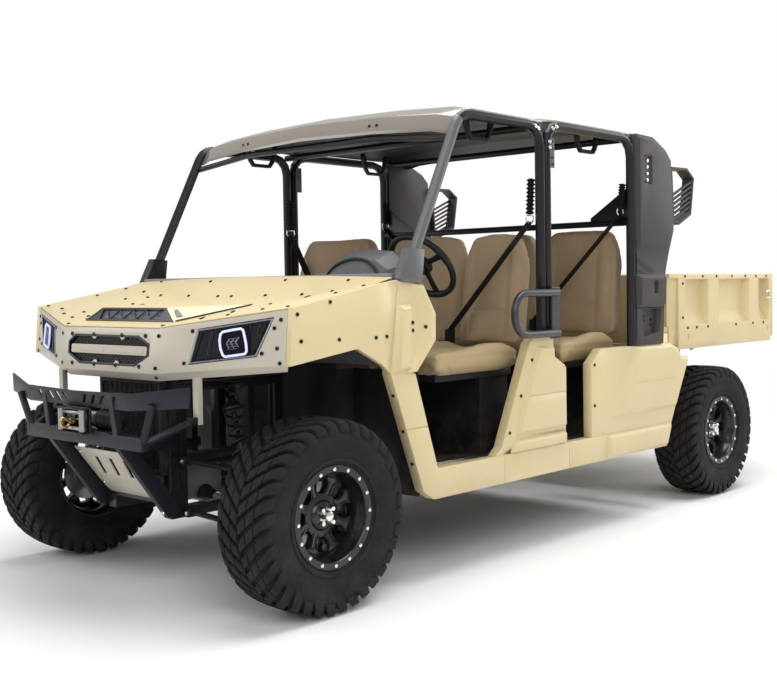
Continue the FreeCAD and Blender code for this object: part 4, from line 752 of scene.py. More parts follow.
lines = [strut("lamp_rib", lamp_at(y1, z1, 3), lamp_at(y2, z2, 3), 4, 3, facing)
         for y1, z1, y2, z2 in ((545, 1024, 528, 924), (538, 1022, 521, 924), (690, 1044, 672, 942),
                                (728, 1050, 712, 1012),
                                (712, 1012, 728, 1006), (728, 1006, 712, 960))]
box_plate = pulled("lamp_plate", [lamp_at(y, z, 0.5) for y, z in (
    (566, 1030), (668, 1043), (684, 1030), (690, 946), (676, 932), (584, 921), (572, 930), (560, 1016))],
    facing * 0.004)
light = tubed("light_ring", [lamp_at(y, z, 7) for y, z in (
    (574, 1010), (582, 1019), (618, 1026), (652, 1031), (661, 1026), (668, 1005), (676, 975), (679, 952),
    (673, 943),
    (640, 938), (596, 932), (587, 938), (577, 960), (572, 988))], 4.6, cyclic=True)
marks = [strut("chevron", lamp_at(y, z, 6), lamp_at(y + 12, z + 17 * way, 6), 3.4, 2, facing)
         for y, z in ((598, 978), (616, 981), (634, 984)) for way in (1, -1)]
marks += [strut("lamp_step", lamp_at(602, 958 + k * 9, 5), lamp_at(642, 961 + k * 9, 5), 1.6, 2, facing)
          for k in range(5)]
for name, piece, material, edge in (
        ("lamp_bezel", bezel, lens_grey, 0.0012), ("lamp_frame", inner_frame, lamp_box, 0.0008),
        ("lamp_ribs", joined("lamp_ribs", lines), trim_black, 0.0008),
        ("lamp_plate", box_plate, lamp_box, 0.0012),
        ("light_ring", light, light_ring_white, 0.0),
        ("lamp_chevrons", joined("lamp_chevrons", marks), lens_grey, 0.0006)):
    if edge:
        bevelled(piece, edge)
    piece.name = name + "_left"
    fitted(mirrored(piece, name + "_right"), material, "chassis", "lamp")
    fitted(piece, material, "chassis", "lamp")

# Hood scoop: a folded sand wedge on the hood, with a black truss frame over grey mesh in its mouth, a black
# trim line down each side and a small black side vent. It is riveted down along its foot.
def on_hood(x, y, out=0.0):
    place, normal = on_face("hood", at(x, y, 2400), (0, 0, -1))
    return place + normal * (out / 1000)


foot = [on_hood(258, 300, 1), on_hood(258, -300, 1)]
rim_line = [at(228, 215, 1103), at(228, -215, 1103)]
tail_line = [on_hood(-60, 358, 1.5), on_hood(-60, -358, 1.5)]
top = pulled("scoop_top", [rim_line[0], rim_line[1], tail_line[1], tail_line[0]], (0, 0, -0.0025))
flanks = [pulled("scoop_side", [rim_line[k], foot[k] + Vector((0, 0, 0.001)), tail_line[k]], (0, 0, -0.0025))
          for k in (0, 1)]
scoop = bevelled(joined("scoop", [top] + flanks), 0.001, 1)
fitted(scoop, sand_paint, "chassis", "body_sand", "hood_scoop")
mouth = [foot[0], foot[1], rim_line[1], rim_line[0]]
out_of_mouth = (foot[1] - foot[0]).cross(rim_line[0] - foot[0]).normalized()
out_of_mouth = out_of_mouth if out_of_mouth.x > 0 else -out_of_mouth
truss = [ringed("scoop_frame", [corner + out_of_mouth * 0.002 for corner in mouth], 8, out_of_mouth * -0.012)]


def in_mouth(y, up, out=0.0):
    """A place in the scoop's mouth: y to the left, up from 0 at its foot to 1 at its rim."""
    low = foot[0].lerp(foot[1], (300 - y) / 600)
    high = rim_line[0].lerp(rim_line[1], (300 - y) / 600)
    place = low.lerp(high, up)
    return Vector((place.x, y / 1000, place.z)) + out_of_mouth * (out / 1000)


peaks = [(y, up) for k in range(5) for y, up in ((-180 + 90 * k, 0.9), (-135 + 90 * k, 0.1))][:-1]
truss += [strut("truss", in_mouth(y1, u1), in_mouth(y2, u2), 4, 5, out_of_mouth)
          for (y1, u1), (y2, u2) in zip(peaks, peaks[1:])]
truss += [pulled("scoop_cheek", [in_mouth(side * 206, 0.05), in_mouth(side * 282, 0.05),
                                 in_mouth(side * 214, 0.95),
                                 in_mouth(side * 206, 0.95)], out_of_mouth * -0.004) for side in (1, -1)]
for k, side in ((0, 1), (1, -1)):
    run = tail_line[k] - foot[k]
    truss.append(strut("scoop_fin", foot[k] + run * 0.02 + Vector((0, side * 0.004, 0.006)),
                       tail_line[k] + Vector((0, side * 0.004, 0.004)), 9, 4, (0, 0, 1)))
    slope = (rim_line[k] - foot[k]).cross(run).normalized()
    slope = slope if slope.z > 0 else -slope
    corner = foot[k].lerp(rim_line[k], 0.22) + run * 0.06 + slope * 0.0015
    up_slope = (rim_line[k] - foot[k]) * 0.5
    truss.append(pulled("scoop_vent", [corner, corner + run * 0.075, corner + run * 0.055 + up_slope,
                                       corner + run * 0.01 + up_slope], slope * 0.002))
fitted(bevelled(joined("scoop_truss", truss), 0.0008, 1), trim_black, "chassis", "frame_black")
wires = [strut("wire", in_mouth(y, 0.08, -7), in_mouth(y + lean, 0.92, -7), 1.6, 1.5, out_of_mouth)
         for y in range(-200, 201, 10) for lean in (12, -12)]
backing = pulled("mesh_back", [in_mouth(-262, 0.02, -11), in_mouth(262, 0.02, -11), in_mouth(205, 0.98, -11),
                               in_mouth(-205, 0.98, -11)], out_of_mouth * -0.002)
mesh_grey = skin_material("mesh_grey", (0.20, 0.21, 0.235), 0.45, metallic=0.5, grain=600.0, bump=0.2,
                          wear=0.0, dust=0.1)
fitted(joined("scoop_mesh", wires + [backing]), mesh_grey, "chassis", "grille_black")


# Seats: foam cushions under sand vinyl and backrests under tan-brown woven covers, in two rows of three. Each
# cover is sewn in channels, and sits on black moulded bases; the foam's fullness is found by a cloth run.
def smooth_step(value, low, high):
    share = min(1.0, max(0.0, (value - low) / (high - low)))
    return share * share * (3 - 2 * share)


def stuffed(piece, seam_at, pressure=4.0, limit=0.013, voxel=0.0135):
    """Remeshes a pad, sews its channels and lets air pressure fill it between them."""
    only(piece)
    skin = piece.modifiers.new("skin", "REMESH")
    skin.mode, skin.voxel_size = "VOXEL", voxel
    bpy.ops.object.modifier_apply(modifier="skin")
    mesh = piece.data
    sewn = piece.vertex_groups.new(name="sewn")
    for vertex in mesh.vertices:
        hold = seam_at(vertex.co, vertex.normal)
        if hold > 0:
            sewn.add([vertex.index], hold, "REPLACE")
            vertex.co -= vertex.normal * 0.005 * hold
    air = piece.modifiers.new("air", "CLOTH")
    cloth = air.settings
    cloth.quality, cloth.mass, cloth.air_damping = 5, 0.3, 2.0
    cloth.tension_stiffness = cloth.compression_stiffness = 18
    cloth.shear_stiffness, cloth.bending_stiffness = 8, 1.5
    cloth.use_pressure, cloth.uniform_pressure_force = True, pressure
    cloth.vertex_group_mass, cloth.pin_stiffness = "sewn", 1.0
    cloth.effector_weights.gravity = 0
    air.collision_settings.use_collision = False
    air.point_cache.frame_start, air.point_cache.frame_end = 1, 20
    for step in range(1, 21):
        bpy.context.scene.frame_set(step)
    filled = piece.evaluated_get(bpy.context.evaluated_depsgraph_get()).data
    places = [vertex.co.copy() for vertex in filled.vertices]
    piece.modifiers.remove(air)
    for vertex, place in zip(mesh.vertices, places):
        move = place - vertex.co
        vertex.co += move * min(1.0, limit / max(move.length, 1e-9))
    bpy.context.scene.frame_set(1)
    piece.vertex_groups.clear()
    round_off = piece.modifiers.new("cover", "SUBSURF")
    round_off.levels = round_off.render_levels = 1
    apply_all(piece)
    bpy.ops.object.shade_smooth()
    return piece


def cushion(name, profile, left, right):
    """A seat cushion: the side outline in (x, z) metres, pulled across, with hip bolsters and sewn channels."""
    core = pulled(name, [Vector((x, left, z)) for x, z in profile], (0, right - left, 0))
    bevelled(core, 0.028, 3, 25)
    low_x, high_x = min(x for x, z in profile), max(x for x, z in profile)
    low_z, high_z = min(z for x, z in profile), max(z for x, z in profile)
    centre, half = (left + right) / 2, (right - left) / 2

    def seam(co, normal):
        if normal.z < 0.5:
            return 0.7 if abs(co.z - (high_z - 0.052)) < 0.007 and abs(normal.z) < 0.6 else 0.0
        near = [abs(abs(co.y - centre) - half * 0.62), abs(co.x - (low_x + 0.36 * (high_x - low_x)))
                if abs(co.y - centre) < half * 0.62 else 1.0]
        return 1.0 if min(near) < 0.0075 else 0.0

    only(core)
    skin = core.modifiers.new("skin", "REMESH")
    skin.mode, skin.voxel_size = "VOXEL", 0.0135
    bpy.ops.object.modifier_apply(modifier="skin")
    for vertex in core.data.vertices:
        forward = (vertex.co.x - low_x) / (high_x - low_x)
        side = abs(vertex.co.y - centre) / half
        up = (vertex.co.z - low_z) / (high_z - low_z)
        bolster = smooth_step(side, 0.62, 0.9) * smooth_step(forward, 0.0,
                                                             0.2) * (1 - smooth_step(forward, 0.3, 0.75))
        vertex.co.z += up * (0.034 * bolster - 0.012 * (1 - side) - 0.018 * smooth_step(forward, 0.35, 0.95))
    return stuffed(core, seam)


def backrest(name, foot_x, foot_z, lean, top, left, right):
    """A backrest: a face outline with wide round shoulders, leaned back and pulled through its thickness."""
    height = (top - foot_z)
    rows = [(0.03, 0.0), (0.0, 0.04), (0.0, 0.66), (0.014, 0.78), (0.038, 0.88), (0.062, 0.95), (0.09, 0.99),
            (0.12, 1.0)]
    width = right - left
    shape = [(left + inset * 0.8, share) for inset, share in rows] + [(right - inset * 0.8, share) for inset,
                                                                      share in
                                                                     reversed(rows)]
    face = [Vector((foot_x + 0.082 - lean * share, y, foot_z + height * share)) for y, share in shape]
    core = pulled(name, face, (-0.074, 0, 0))
    bevelled(core, 0.03, 3, 25)
    centre, half = (left + right) / 2, width / 2

    def seam(co, normal):
        if normal.x < 0.45:
            return 0.0
        if abs(abs(co.y - centre) - half * 0.56) < 0.0075:
            return 1.0
        return 0.8 if abs(co.z - (foot_z + height * 0.3)) < 0.0075 and abs(co.y - centre) < half * 0.56 else 0.0

    return stuffed(core, seam)


def cover_material(name, colour, weave, roughness, grain):
    """A seat cover: woven threads or a vinyl grain in the bump, soft broad folds and a slight sheen."""
    material = skin_material(name, colour, roughness, tone=0.07, grain=grain, bump=0.3, wear=0.0, dust=0.0,
                             specular=0.3)
    tree = material.node_tree
    shader = tree.nodes["Principled BSDF"]
    shader.inputs["Sheen Weight"].default_value = 0.15
    fold = tree.nodes.new("ShaderNodeBump")
    fold.inputs["Strength"].default_value = 0.35
    fold.inputs["Distance"].default_value = 0.006
    first = next(node for node in tree.nodes if node.type == "BUMP" and node is not fold)
    tree.links.new(noise_at(tree, None, 7.0, 2.0, 0.45).outputs["Fac"], fold.inputs["Height"])
    tree.links.new(first.outputs["Normal"], fold.inputs["Normal"])
    thread = tree.nodes.new("ShaderNodeBump")
    thread.inputs["Strength"].default_value = 0.5 if weave else 0.15
    thread.inputs["Distance"].default_value = 0.0006
    place = tree.nodes.new("ShaderNodeTexCoord")
    waves = []
    for axis in ("Y", "Z") if weave else ("X", "Y"):
        wave = node_in(tree, "ShaderNodeTexWave", bands_direction=axis)
        wave.inputs["Scale"].default_value = 140.0
        wave.inputs["Distortion"].default_value = 0.6 if weave else 6.0
        tree.links.new(place.outputs["Object"], wave.inputs["Vector"])
        waves.append(wave.outputs["Fac"])
    woven = node_in(tree, "ShaderNodeMath", operation="MULTIPLY")
    for index, wave in enumerate(waves):
        tree.links.new(wave, woven.inputs[index])
    tree.links.new(woven.outputs[0], thread.inputs["Height"])
    tree.links.new(fold.outputs["Normal"], thread.inputs["Normal"])
    tree.links.new(thread.outputs["Normal"], shader.inputs["Normal"])
    return material


seat_vinyl = cover_material("seat_vinyl", (0.45, 0.335, 0.175), False, 0.48, 700.0)
seat_fabric = cover_material("seat_fabric", (0.345, 0.25, 0.15), True, 0.75, 900.0)


def side_outline(back, front, low, high):
    return [(back + 0.006, low + 0.004), (front - 0.026, low + 0.004), (front - 0.006, low + 0.04),
            (front - 0.014, high - 0.02),
            (front - 0.05, high - 0.006), (back + 0.006, high - 0.03)]


def moved_copy(piece, name, across):
    copy = piece.copy()
    copy.data = piece.data.copy()
    copy.data.transform(Matrix.Translation((0, across, 0)))
    copy.name = name
    bpy.context.scene.collection.objects.link(copy)
    return copy


def seat(piece, material, slot_name, *nodes):
    fitted(piece, material, "chassis", slot_name, *nodes)


front_side = side_outline(front_axle - 1.255, front_axle - 0.680, 0.806, 0.922)
for name, left, right in (("right", -0.754, -0.186), ("middle", -0.164, 0.374), ("left", 0.396, 0.754)):
    seat(cushion("front_cushion_" + name, front_side, left, right), seat_vinyl, "seat_vinyl",
         "front_seat_cushions")
rear_side = side_outline(rear_axle + 0.863, rear_axle + 1.340, 0.806, 0.932)
rear_cushion = cushion("rear_cushion_middle", rear_side, -0.239, 0.239)
for name, left, right, top in (("right", -0.744, -0.176, 1.424), ("middle", -0.094, 0.379, 1.414),
                               ("left", 0.401, 0.759, 1.404)):
    seat(backrest("front_back_" + name, front_axle - 1.300, 0.9044, 0.070, top, left, right), seat_fabric,
         "seat_fabric",
         "front_seat_backs")
rear_back = backrest("rear_back_middle", rear_axle + 0.818, 0.9148, 0.060, 1.449, -0.239, 0.239)
for name, across in (("right", -0.5), ("left", 0.5)):
    seat(moved_copy(rear_cushion, "rear_cushion_" + name, across), seat_vinyl, "seat_vinyl",
         "rear_seat_cushions")
    seat(moved_copy(rear_back, "rear_back_" + name, across), seat_fabric, "seat_fabric", "rear_seat_backs")
seat(rear_cushion, seat_vinyl, "seat_vinyl", "rear_seat_cushions")
seat(rear_back, seat_fabric, "seat_fabric", "rear_seat_backs")

# Seat belts: black webbing from a ribbed guide on the pillar down to a buckle beside each outer seat. The
# webbing is a flat woven strip; the guide is a moulded bellows with a steel loop under it.
webbing = skin_material("webbing", (0.007, 0.007, 0.008), 0.7, specular=0.2, tone=0.1, grain=1500.0, bump=0.5,
                        wear=0.0, dust=0.0)
black_plastic = skin_material("black_plastic", (0.009, 0.009, 0.010), 0.55, specular=0.3, tone=0.08,
                              grain=1600.0, bump=0.12,
                              wear=0.3, dust=0.3)


def ribbon(name, start, end, width, thick=1.6):
    """A flat strip of webbing in eight spans, its width towards the front and back."""
    along = (end - start).normalized()
    aside = (Vector((1, 0, 0)) - along * along.x).normalized() * (width / 2000)
    count = 8
    mids = [start.lerp(end, k / count) for k in range(count + 1)]
    corners = [m + aside for m in mids] + [m - aside for m in reversed(mids)]
    face = aside.cross(along).normalized()
    strip = new_mesh(name, corners, faces=[(k, k + 1, 2 * count - k,
                                            2 * count + 1 - k) for k in range(count)])
    in_edit(strip)
    bpy.ops.mesh.extrude_region_move(TRANSFORM_OT_translate={"value": tuple(face * (thick / 1000))})
    out_of_edit()
    return bevelled(strip, 0.0005, 1, 60)


def belt_set(name, pillar_top, guide_foot, buckle_place, tongue_way):
    """The webbing, the bellows guide, its loop and the buckle of one belt."""
    run = (guide_foot - pillar_top)
    length = run.length * 1000
    bellows_profile = [(0, 4)]
    count = 9
    for k in range(count):
        bellows_profile += [(length * (k + 0.15) / count, 13), (length * (k + 0.5) / count, 21),
                            (length * (k + 0.85) / count, 13)]
    bellows_profile += [(length, 4)]
    bellows = lathed(name + "_bellows", bellows_profile, pillar_top, run, 20, closed=False)
    loop = tubed(name + "_loop", [guide_foot + Vector(v) for v in (
        (-0.024, 0, -0.004), (0.024, 0, -0.004), (0.028, 0, -0.022), (0.016, 0, -0.034), (-0.016, 0, -0.034),
        (-0.028, 0, -0.022))], 3.2, cyclic=True)
    strap = ribbon(name + "_strap", guide_foot + Vector((0, 0, -0.03)), buckle_place, 46)
    case = block("buckle", buckle_place + Vector((-0.026, -0.012, -0.062)),
                 buckle_place + Vector((0.026, 0.012, 0.006)))
    bevelled(case, 0.006, 3)
    button = block("button", buckle_place + Vector((-0.015, 0.0115, -0.012)),
                   buckle_place + Vector((0.015, 0.0145, 0.0)))
    tail = ribbon(name + "_tail", buckle_place + Vector((0, 0, -0.05)), buckle_place + tongue_way, 46)
    return [smoothed(bellows, 50), strap, tail, case, bevelled(button, 0.001, 1)], loop


for side in (1, -1):
    tag = "left" if side > 0 else "right"
    front_parts, front_loop = belt_set("front_belt_" + tag, at(-1284, side * 800, 1640),
                                       at(-1277, side * 796, 1480),
                                       at(-1186, side * 400, 966), Vector((-0.03, side * 0.03, -0.14)))
    rear_parts, rear_loop = belt_set("rear_belt_" + tag, at_rear(907, side * 812, 1660),
                                     at_rear(912, side * 800, 1540),
                                     at_rear(905, side * 262, 985), Vector((-0.02, side * 0.02, -0.12)))
    fitted(joined("belts_" + tag, front_parts + rear_parts), webbing, "chassis", "belt_webbing", "seat_belts")
    fitted(joined("belt_loops_" + tag, [front_loop, rear_loop]), bolt_bright, "chassis", "alloy")

# Steering wheel: a moulded black rim with finger grips over three flat spokes and a plain boss, on the column's
# axis, which leans 38 degrees from level towards the driver.
axis = Vector((-math.cos(math.radians(38)), 0, math.sin(math.radians(38))))
level = Vector((0, 1, 0))
wheel_up = axis.cross(level)
wheel_mid = at(-978, 420, 1260)


def on_wheel(angle, radius, lift=0.0):
    turn = math.radians(angle)
    return wheel_mid + (level * math.cos(turn) - wheel_up * math.sin(turn)) * (radius / 1000) + axis * (lift / 1000)


rim_points = [on_wheel(5 * k, 161 + (0.0 if k % 2 else 1.2)) for k in range(72)]
wheel_parts = [tubed("wheel_rim", rim_points, 14, cyclic=True, sides=3)]
for angle in (20, 160, 270):
    flat = pulled("wheel_spoke", [on_wheel(angle - 22, 38, 4), on_wheel(angle - 9, 80, 2),
                                  on_wheel(angle - 6, 156, 0),
                                  on_wheel(angle + 6, 156, 0), on_wheel(angle + 9, 80, 2),
                                  on_wheel(angle + 22, 38, 4)],
                  axis * 0.011)
    wheel_parts.append(bevelled(flat, 0.004, 3, 30))
    grip = tubed("wheel_grip", [on_wheel(angle + k, 161) for k in range(-14, 15, 4)], 16, sides=3)
    wheel_parts.append(grip)
wheel_parts.append(lathed("wheel_boss", [(-12, 0), (-12, 40), (-4, 47), (14, 47), (22, 40), (26, 26),
                                         (27, 0)], wheel_mid,
                          axis, 40, closed=False))
wheel_parts.append(lathed("wheel_badge_ring", [(25, 18), (28, 20), (28, 24), (25, 26)], wheel_mid, axis, 40))
steering = smoothed(joined("steering_wheel", wheel_parts), 40)
fitted(steering, black_plastic, "handwheel", "plastic_black", "steering_wheel")


# Shock absorbers: a black coil over a grey damper body and a bright rod, with rubber-bushed eyes bolted to the
# lower arm and the frame tower. One a wheel, leaning inwards to the top.
frame_black = skin_material("frame_black", (0.006, 0.0065, 0.0085), 0.38, specular=0.3, tone=0.06,
                            grain=1100.0, bump=0.05,
                            wear_colour=(0.07, 0.07, 0.072), wear=0.3, dust=0.08, coat=0.1)
cast_steel = skin_material("cast_steel", (0.022, 0.022, 0.024), 0.5, metallic=0.6, tone=0.12, grain=500.0,
                           bump=0.15,
                           wear=0.4, dust=0.2)


def shock(name, station, side, low, high):
    """Damper, coil, seats and eyes along the line from the lower eye to the upper eye."""
    low, high = station(30, side * low[0], low[1]), station(30, side * high[0], high[1])
    run = high - low
    length, way = run.length * 1000, run.normalized()
    damper = lathed(name, [(10, 0), (10, 16), (22, 20), (100, 20), (104, 40), (112, 41), (114, 24),
                           (length * 0.62, 24),
                           (length * 0.64, 18), (length * 0.66, 9), (length - 62, 9), (length - 62, 40),
                           (length - 54, 42), (length - 46, 30), (length - 30, 16), (length - 12, 13),
                           (length - 12, 0)],
                    low, run, 32, closed=False)
    across = way.cross(Vector((1, 0, 0))).normalized()
    other = way.cross(across)
    turns, first, last = 8, 118, length - 66
    spring = tubed(name + "_coil", [
        low + way * ((first + (last - first) * k / (turns * 16)) / 1000)
        + (across * math.cos(k * math.pi / 8) + other * math.sin(k * math.pi / 8)) * 0.0335 for k in range(turns * 16 + 1)],
        5.2, sides=2)
    eyes = [lathed(name + "_eye", [(-15, 9), (-15, 17), (15, 17), (15, 9)], end, (1, 0, 0),
                   24) for end in (low, high)]
    rod = lathed(name + "_rod", [(length * 0.6, 0), (length * 0.6, 8), (length - 60, 8), (length - 60, 0)],
                 low, run, 20,
                 closed=False)
    return smoothed(joined(name, [damper, spring] + eyes), 45), smoothed(rod, 45)


for label, station, low, high in (("front", at, (464.9, 301.3), (330, 770.7)),
                                  ("rear", at_rear, (464.9, 301.3), (330, 730.7))):
    for side in (1, -1):
        tag = label + ("_left" if side > 0 else "_right")
        body, rod = shock("shock_" + tag, station, side, low, high)
        fitted(body, frame_black, "chassis", "frame_black", "shock_absorbers")
        fitted(rod, bolt_bright, "chassis", "alloy")

# Drive shafts: rubber boots over the inner and outer joints of each half shaft, held by bands.
boots, bands = [], []
for station in (at, at_rear):
    for side in (1, -1):
        for start, way, small in ((112, 1, 14), (572, -1, 14)):
            profile = [(0, 30)]
            for k in range(5):
                profile += [(8 + 14 * k, 40 - 4.6 * k), (15 + 14 * k, 31 - 3.6 * k)]
            profile += [(82, small)]
            boots.append(lathed("boot", profile, station(0, side * start, 354.25), (0, side * way, 0), 32,
                                closed=False))
            bands.append(lathed("band", [(78, small), (78, small + 2.5), (86, small + 2.5), (86, small)],
                                station(0, side * start, 354.25), (0, side * way, 0), 32))
boots = smoothed(joined("shaft_boots", boots), 60)
fitted(boots, rubber, "chassis", "tyre")
fitted(joined("boot_bands", bands), bolt_bright, "chassis", "steel_dark")
# Bed floor, boards and tailgate: ribbed sheet steel in the same sand powder coat, rubbed by loads.
bed_paint = skin_material("bed_paint", (0.68, 0.555, 0.31), 0.5, tone=0.06, grain=1000.0, bump=0.05,
                          wear_colour=(0.45, 0.36, 0.26), wear=0.5, dust=0.4)

# Bumper: folded plate and tube with a dark blue-grey coat.
bumper_coat = skin_material("bumper_coat", (0.008, 0.010, 0.016), 0.42, tone=0.05, grain=1000.0, bump=0.05,
                            wear_colour=(0.05, 0.055, 0.07), wear=0.15, dust=0.04, specular=0.35)

# Gear cases and shafts: sand-cast alloy. The grille's opening keeps the CAD's own form, in moulded black.
cast_alloy = skin_material("cast_alloy", (0.30, 0.31, 0.32), 0.5, metallic=0.8, tone=0.15, grain=500.0,
                           bump=0.15,
                           wear=0.3, dust=0.6)
finish_nodes(black_plastic, "grille")

# Roof skins: thermoformed sheet in gloss tan-grey.
roof_gloss = skin_material("roof_gloss", (0.235, 0.205, 0.175), 0.2, tone=0.05, grain=260.0, bump=0.02,
                           wear=0.1,
                           dust=0.0, coat=0.5)

# Rear caps: dark brown-grey moulded covers with a fine grain.
cap_plastic = skin_material("cap_plastic", (0.040, 0.035, 0.032), 0.5, specular=0.35, tone=0.06, grain=1500.0,
                            bump=0.12,
                            wear=0.2, dust=0.1)

# Dashboard and windscreen base: moulded grey.
dash_plastic = skin_material("dash_plastic", (0.085, 0.085, 0.09), 0.5, tone=0.06, grain=1500.0, bump=0.12,
                             wear=0.15, dust=0.05)
cowl_grey = skin_material("cowl_grey", (0.22, 0.22, 0.225), 0.45, tone=0.05, grain=900.0, bump=0.08, wear=0.2,
                          dust=0.1)

# Lamps: clear covers over dark housings, and red lenses at the tail.
lamp_gloss = skin_material("lamp_gloss", (0.006, 0.006, 0.010), 0.16, grain=100.0, bump=0.0, wear=0.0,
                           dust=0.0,
                           coat=0.3, specular=0.3)
finish_nodes(lamp_gloss, "headlamps")
tail_red = skin_material("tail_red", (0.35, 0.012, 0.012), 0.15, grain=100.0, bump=0.0, wear=0.0, dust=0.1,
                         coat=1.0)
finish_nodes(tail_red, "tail_lamps")



# Panels, tubes and castings that keep the CAD's own form: a copy of each, with pressed or rolled edges rounded
# and faceted tubes brought round, in the finish of its material.
def softened(material, body, slot_name, width, angle, *nodes):
    """Rounded copies of CAD nodes, each standing for its node."""
    for node in nodes:
        mesh = cad[node].data.copy()
        mesh.transform(cad[node].matrix_world)
        piece = bpy.data.objects.new(node + "_soft", mesh)
        bpy.context.scene.collection.objects.link(piece)
        in_edit(piece)
        bpy.ops.mesh.remove_doubles(threshold=1e-5)
        bpy.ops.mesh.normals_make_consistent(inside=False)
        bpy.ops.mesh.separate(type="LOOSE")
        bpy.ops.object.mode_set(mode="OBJECT")
        parts = list(bpy.context.selected_objects)
        for part in parts:
            bevelled(part, width, 2, angle)
        whole = smoothed(joined(node + "_soft", parts), 35)
        fitted(whole, material, body, slot_name, node)


plain_parts = [
    # The nose panel and skid plate take the sand paint's darker copy, which is painted shade.
    (nose_paint, "chassis", "body_sand", 0.0016, 25, ("nose_panel", "skid_plate")),
    (sand_paint, "chassis", "body_sand", 0.0018, 25,
     ("hood", "front_fenders", "cowl_pods", "body_sills", "centre_posts",
                                                      "rear_quarters")),
    (bed_paint, "bed", "body_sand", 0.0018, 25, ("bed_floor", "bed_sides")),
    (bed_paint, "tail_board", "body_sand", 0.0018, 25, ("tailgate",)),
    (frame_black, "chassis", "frame_black", 0.0045, 25, ("cage_front", "cage_rear", "rear_bumper")),
    (frame_black, "chassis", "frame_black", 0.002, 30, ("chassis_frame", "suspension_arms")),
    (black_plastic, "chassis", "plastic_black", 0.004, 25, ("grab_handles", "seat_bases", "floor_pan")),
    (bumper_coat, "chassis", "bumper_blue", 0.002, 25, ("front_bumper",)),
    (roof_gloss, "chassis", "roof_tan", 0.006, 12, ("roof_front", "roof_rear")),
    (cap_plastic, "chassis", "cap_grey", 0.006, 15, ("rear_cap",)),
    (dash_plastic, "chassis", "dash_grey", 0.012, 15, ("dashboard",)),
    (cowl_grey, "chassis", "dash_grey", 0.003, 15, ("cowl_bar",)),
    (cast_steel, "chassis", "steel_dark", 0.003, 25, ("engine_block", "exhaust", "rear_uprights")),
    (cast_alloy, "chassis", "alloy", 0.003, 25, ("driveline",)),
    (cast_steel, "knuckle_left", "steel_dark", 0.003, 25, ("knuckle_fl",)),
    (cast_steel, "knuckle_right", "steel_dark", 0.003, 25, ("knuckle_fr",)),
]
for material, body, slot_name, width, angle, nodes in plain_parts:
    softened(material, body, slot_name, width, angle, *nodes)

# Roof skins are dark underneath, and the left windscreen pillar is given a lighter grey than the rest of the cage:
# a painted highlight for the light that pillar catches, not a different coat.
def tinted(name, material, chosen):
    """A second finish on the faces that a rule chooses."""
    mesh = bpy.data.objects[name].data
    mesh.materials.append(material)
    for face in mesh.polygons:
        if chosen(face.center, face.normal):
            face.material_index = len(mesh.materials) - 1


# Lighter grey for the left windscreen pillar: painted highlight on a black cage tube.
pillar_grey = skin_material("pillar_grey", (0.105, 0.105, 0.108), 0.34, tone=0.05, grain=900.0, bump=0.04,
                            wear=0.2,
                            dust=0.0, coat=0.1)
for name in ("roof_front_soft", "roof_rear_soft"):
    tinted(name, black_plastic, lambda centre, normal: normal.z < -0.05)
# Only the left pillar's faces take the painted highlight.
tinted("cage_front_soft", pillar_grey, lambda centre,
       normal: centre.x > front_axle - 0.742 and centre.z < 1.858
       and centre.y > 0.8 and centre.z > 1.19)

# Hoops beside the front seats: bent round tube welded to a plate on the centre pillar.
def round_path(points, radius, steps=7):
    """Points of a path whose inner corners are bent to a radius, in metres."""
    path = [points[0]]
    for before, corner, after in zip(points, points[1:], points[2:]):
        back, on = (before - corner).normalized(), (after - corner).normalized()
        reach = radius / math.tan(back.angle(on) / 2)
        middle_way = (back + on).normalized()
        centre = corner + middle_way * (radius / math.sin(back.angle(on) / 2))
        start, end = corner + back * reach - centre, corner + on * reach - centre
        for k in range(steps + 1):
            path.append(centre + start.normalized().slerp(end.normalized(), k / steps) * radius)
    return path + [points[-1]]


hoop_grey = skin_material("hoop_grey", (0.035, 0.035, 0.038), 0.32, tone=0.05, grain=900.0, bump=0.04,
                          wear=0.2, dust=0.0)
for side in (1, -1):
    path = round_path([at(x, side * 879.3, z) for x,
                       z in ((-1371, 1135), (-1053, 1135), (-1053, 955), (-1371, 955))], 0.084)
    hoop = tubed("hoop", path, 16.8, sides=4)
    plate = bevelled(block("hoop_plate", at(-1394, side * 868.8 - 6.5, 931),
                           at(-1330, side * 868.8 + 6.5, 1160)), 0.003, 2)
    fitted(joined("hip_hoop_" + ("left" if side > 0 else "right"), [hoop, plate]), hoop_grey, "chassis",
           "frame_black",
           "hip_hoops")

# Cap vents: moulded boxes behind the rear caps, open right through behind a row of slanting slats.
vent_outline = [(512, 1768), (341, 1772), (266, 1724), (300, 1527), (428, 1471), (491, 1485)]
for side in (1, -1):
    tag = "left" if side > 0 else "right"
    shell = ringed("vent", [at_rear(x, side * 791, z) for x, z in vent_outline], 15, (0, side * 0.066, 0))
    inner = [(x + (390 - x) * 0.1, z + (1620 - z) * 0.085) for x, z in vent_outline]
    slats = [strut("slat", at_rear(x1, side * 853, z1), at_rear(x2, side * 853, z2), 9, 16, (0, side, 0))
             for (x1, z1), (x2, z2) in mesh_bars(inner, 25, -0.42)]
    vent = joined("intake_vent_" + tag, [bevelled(shell, 0.004, 2)] + [bevelled(slat, 0.001,
                                                                                1) for slat in slats])
    fitted(vent, cap_plastic, "chassis", "cap_grey", "intake_vents")

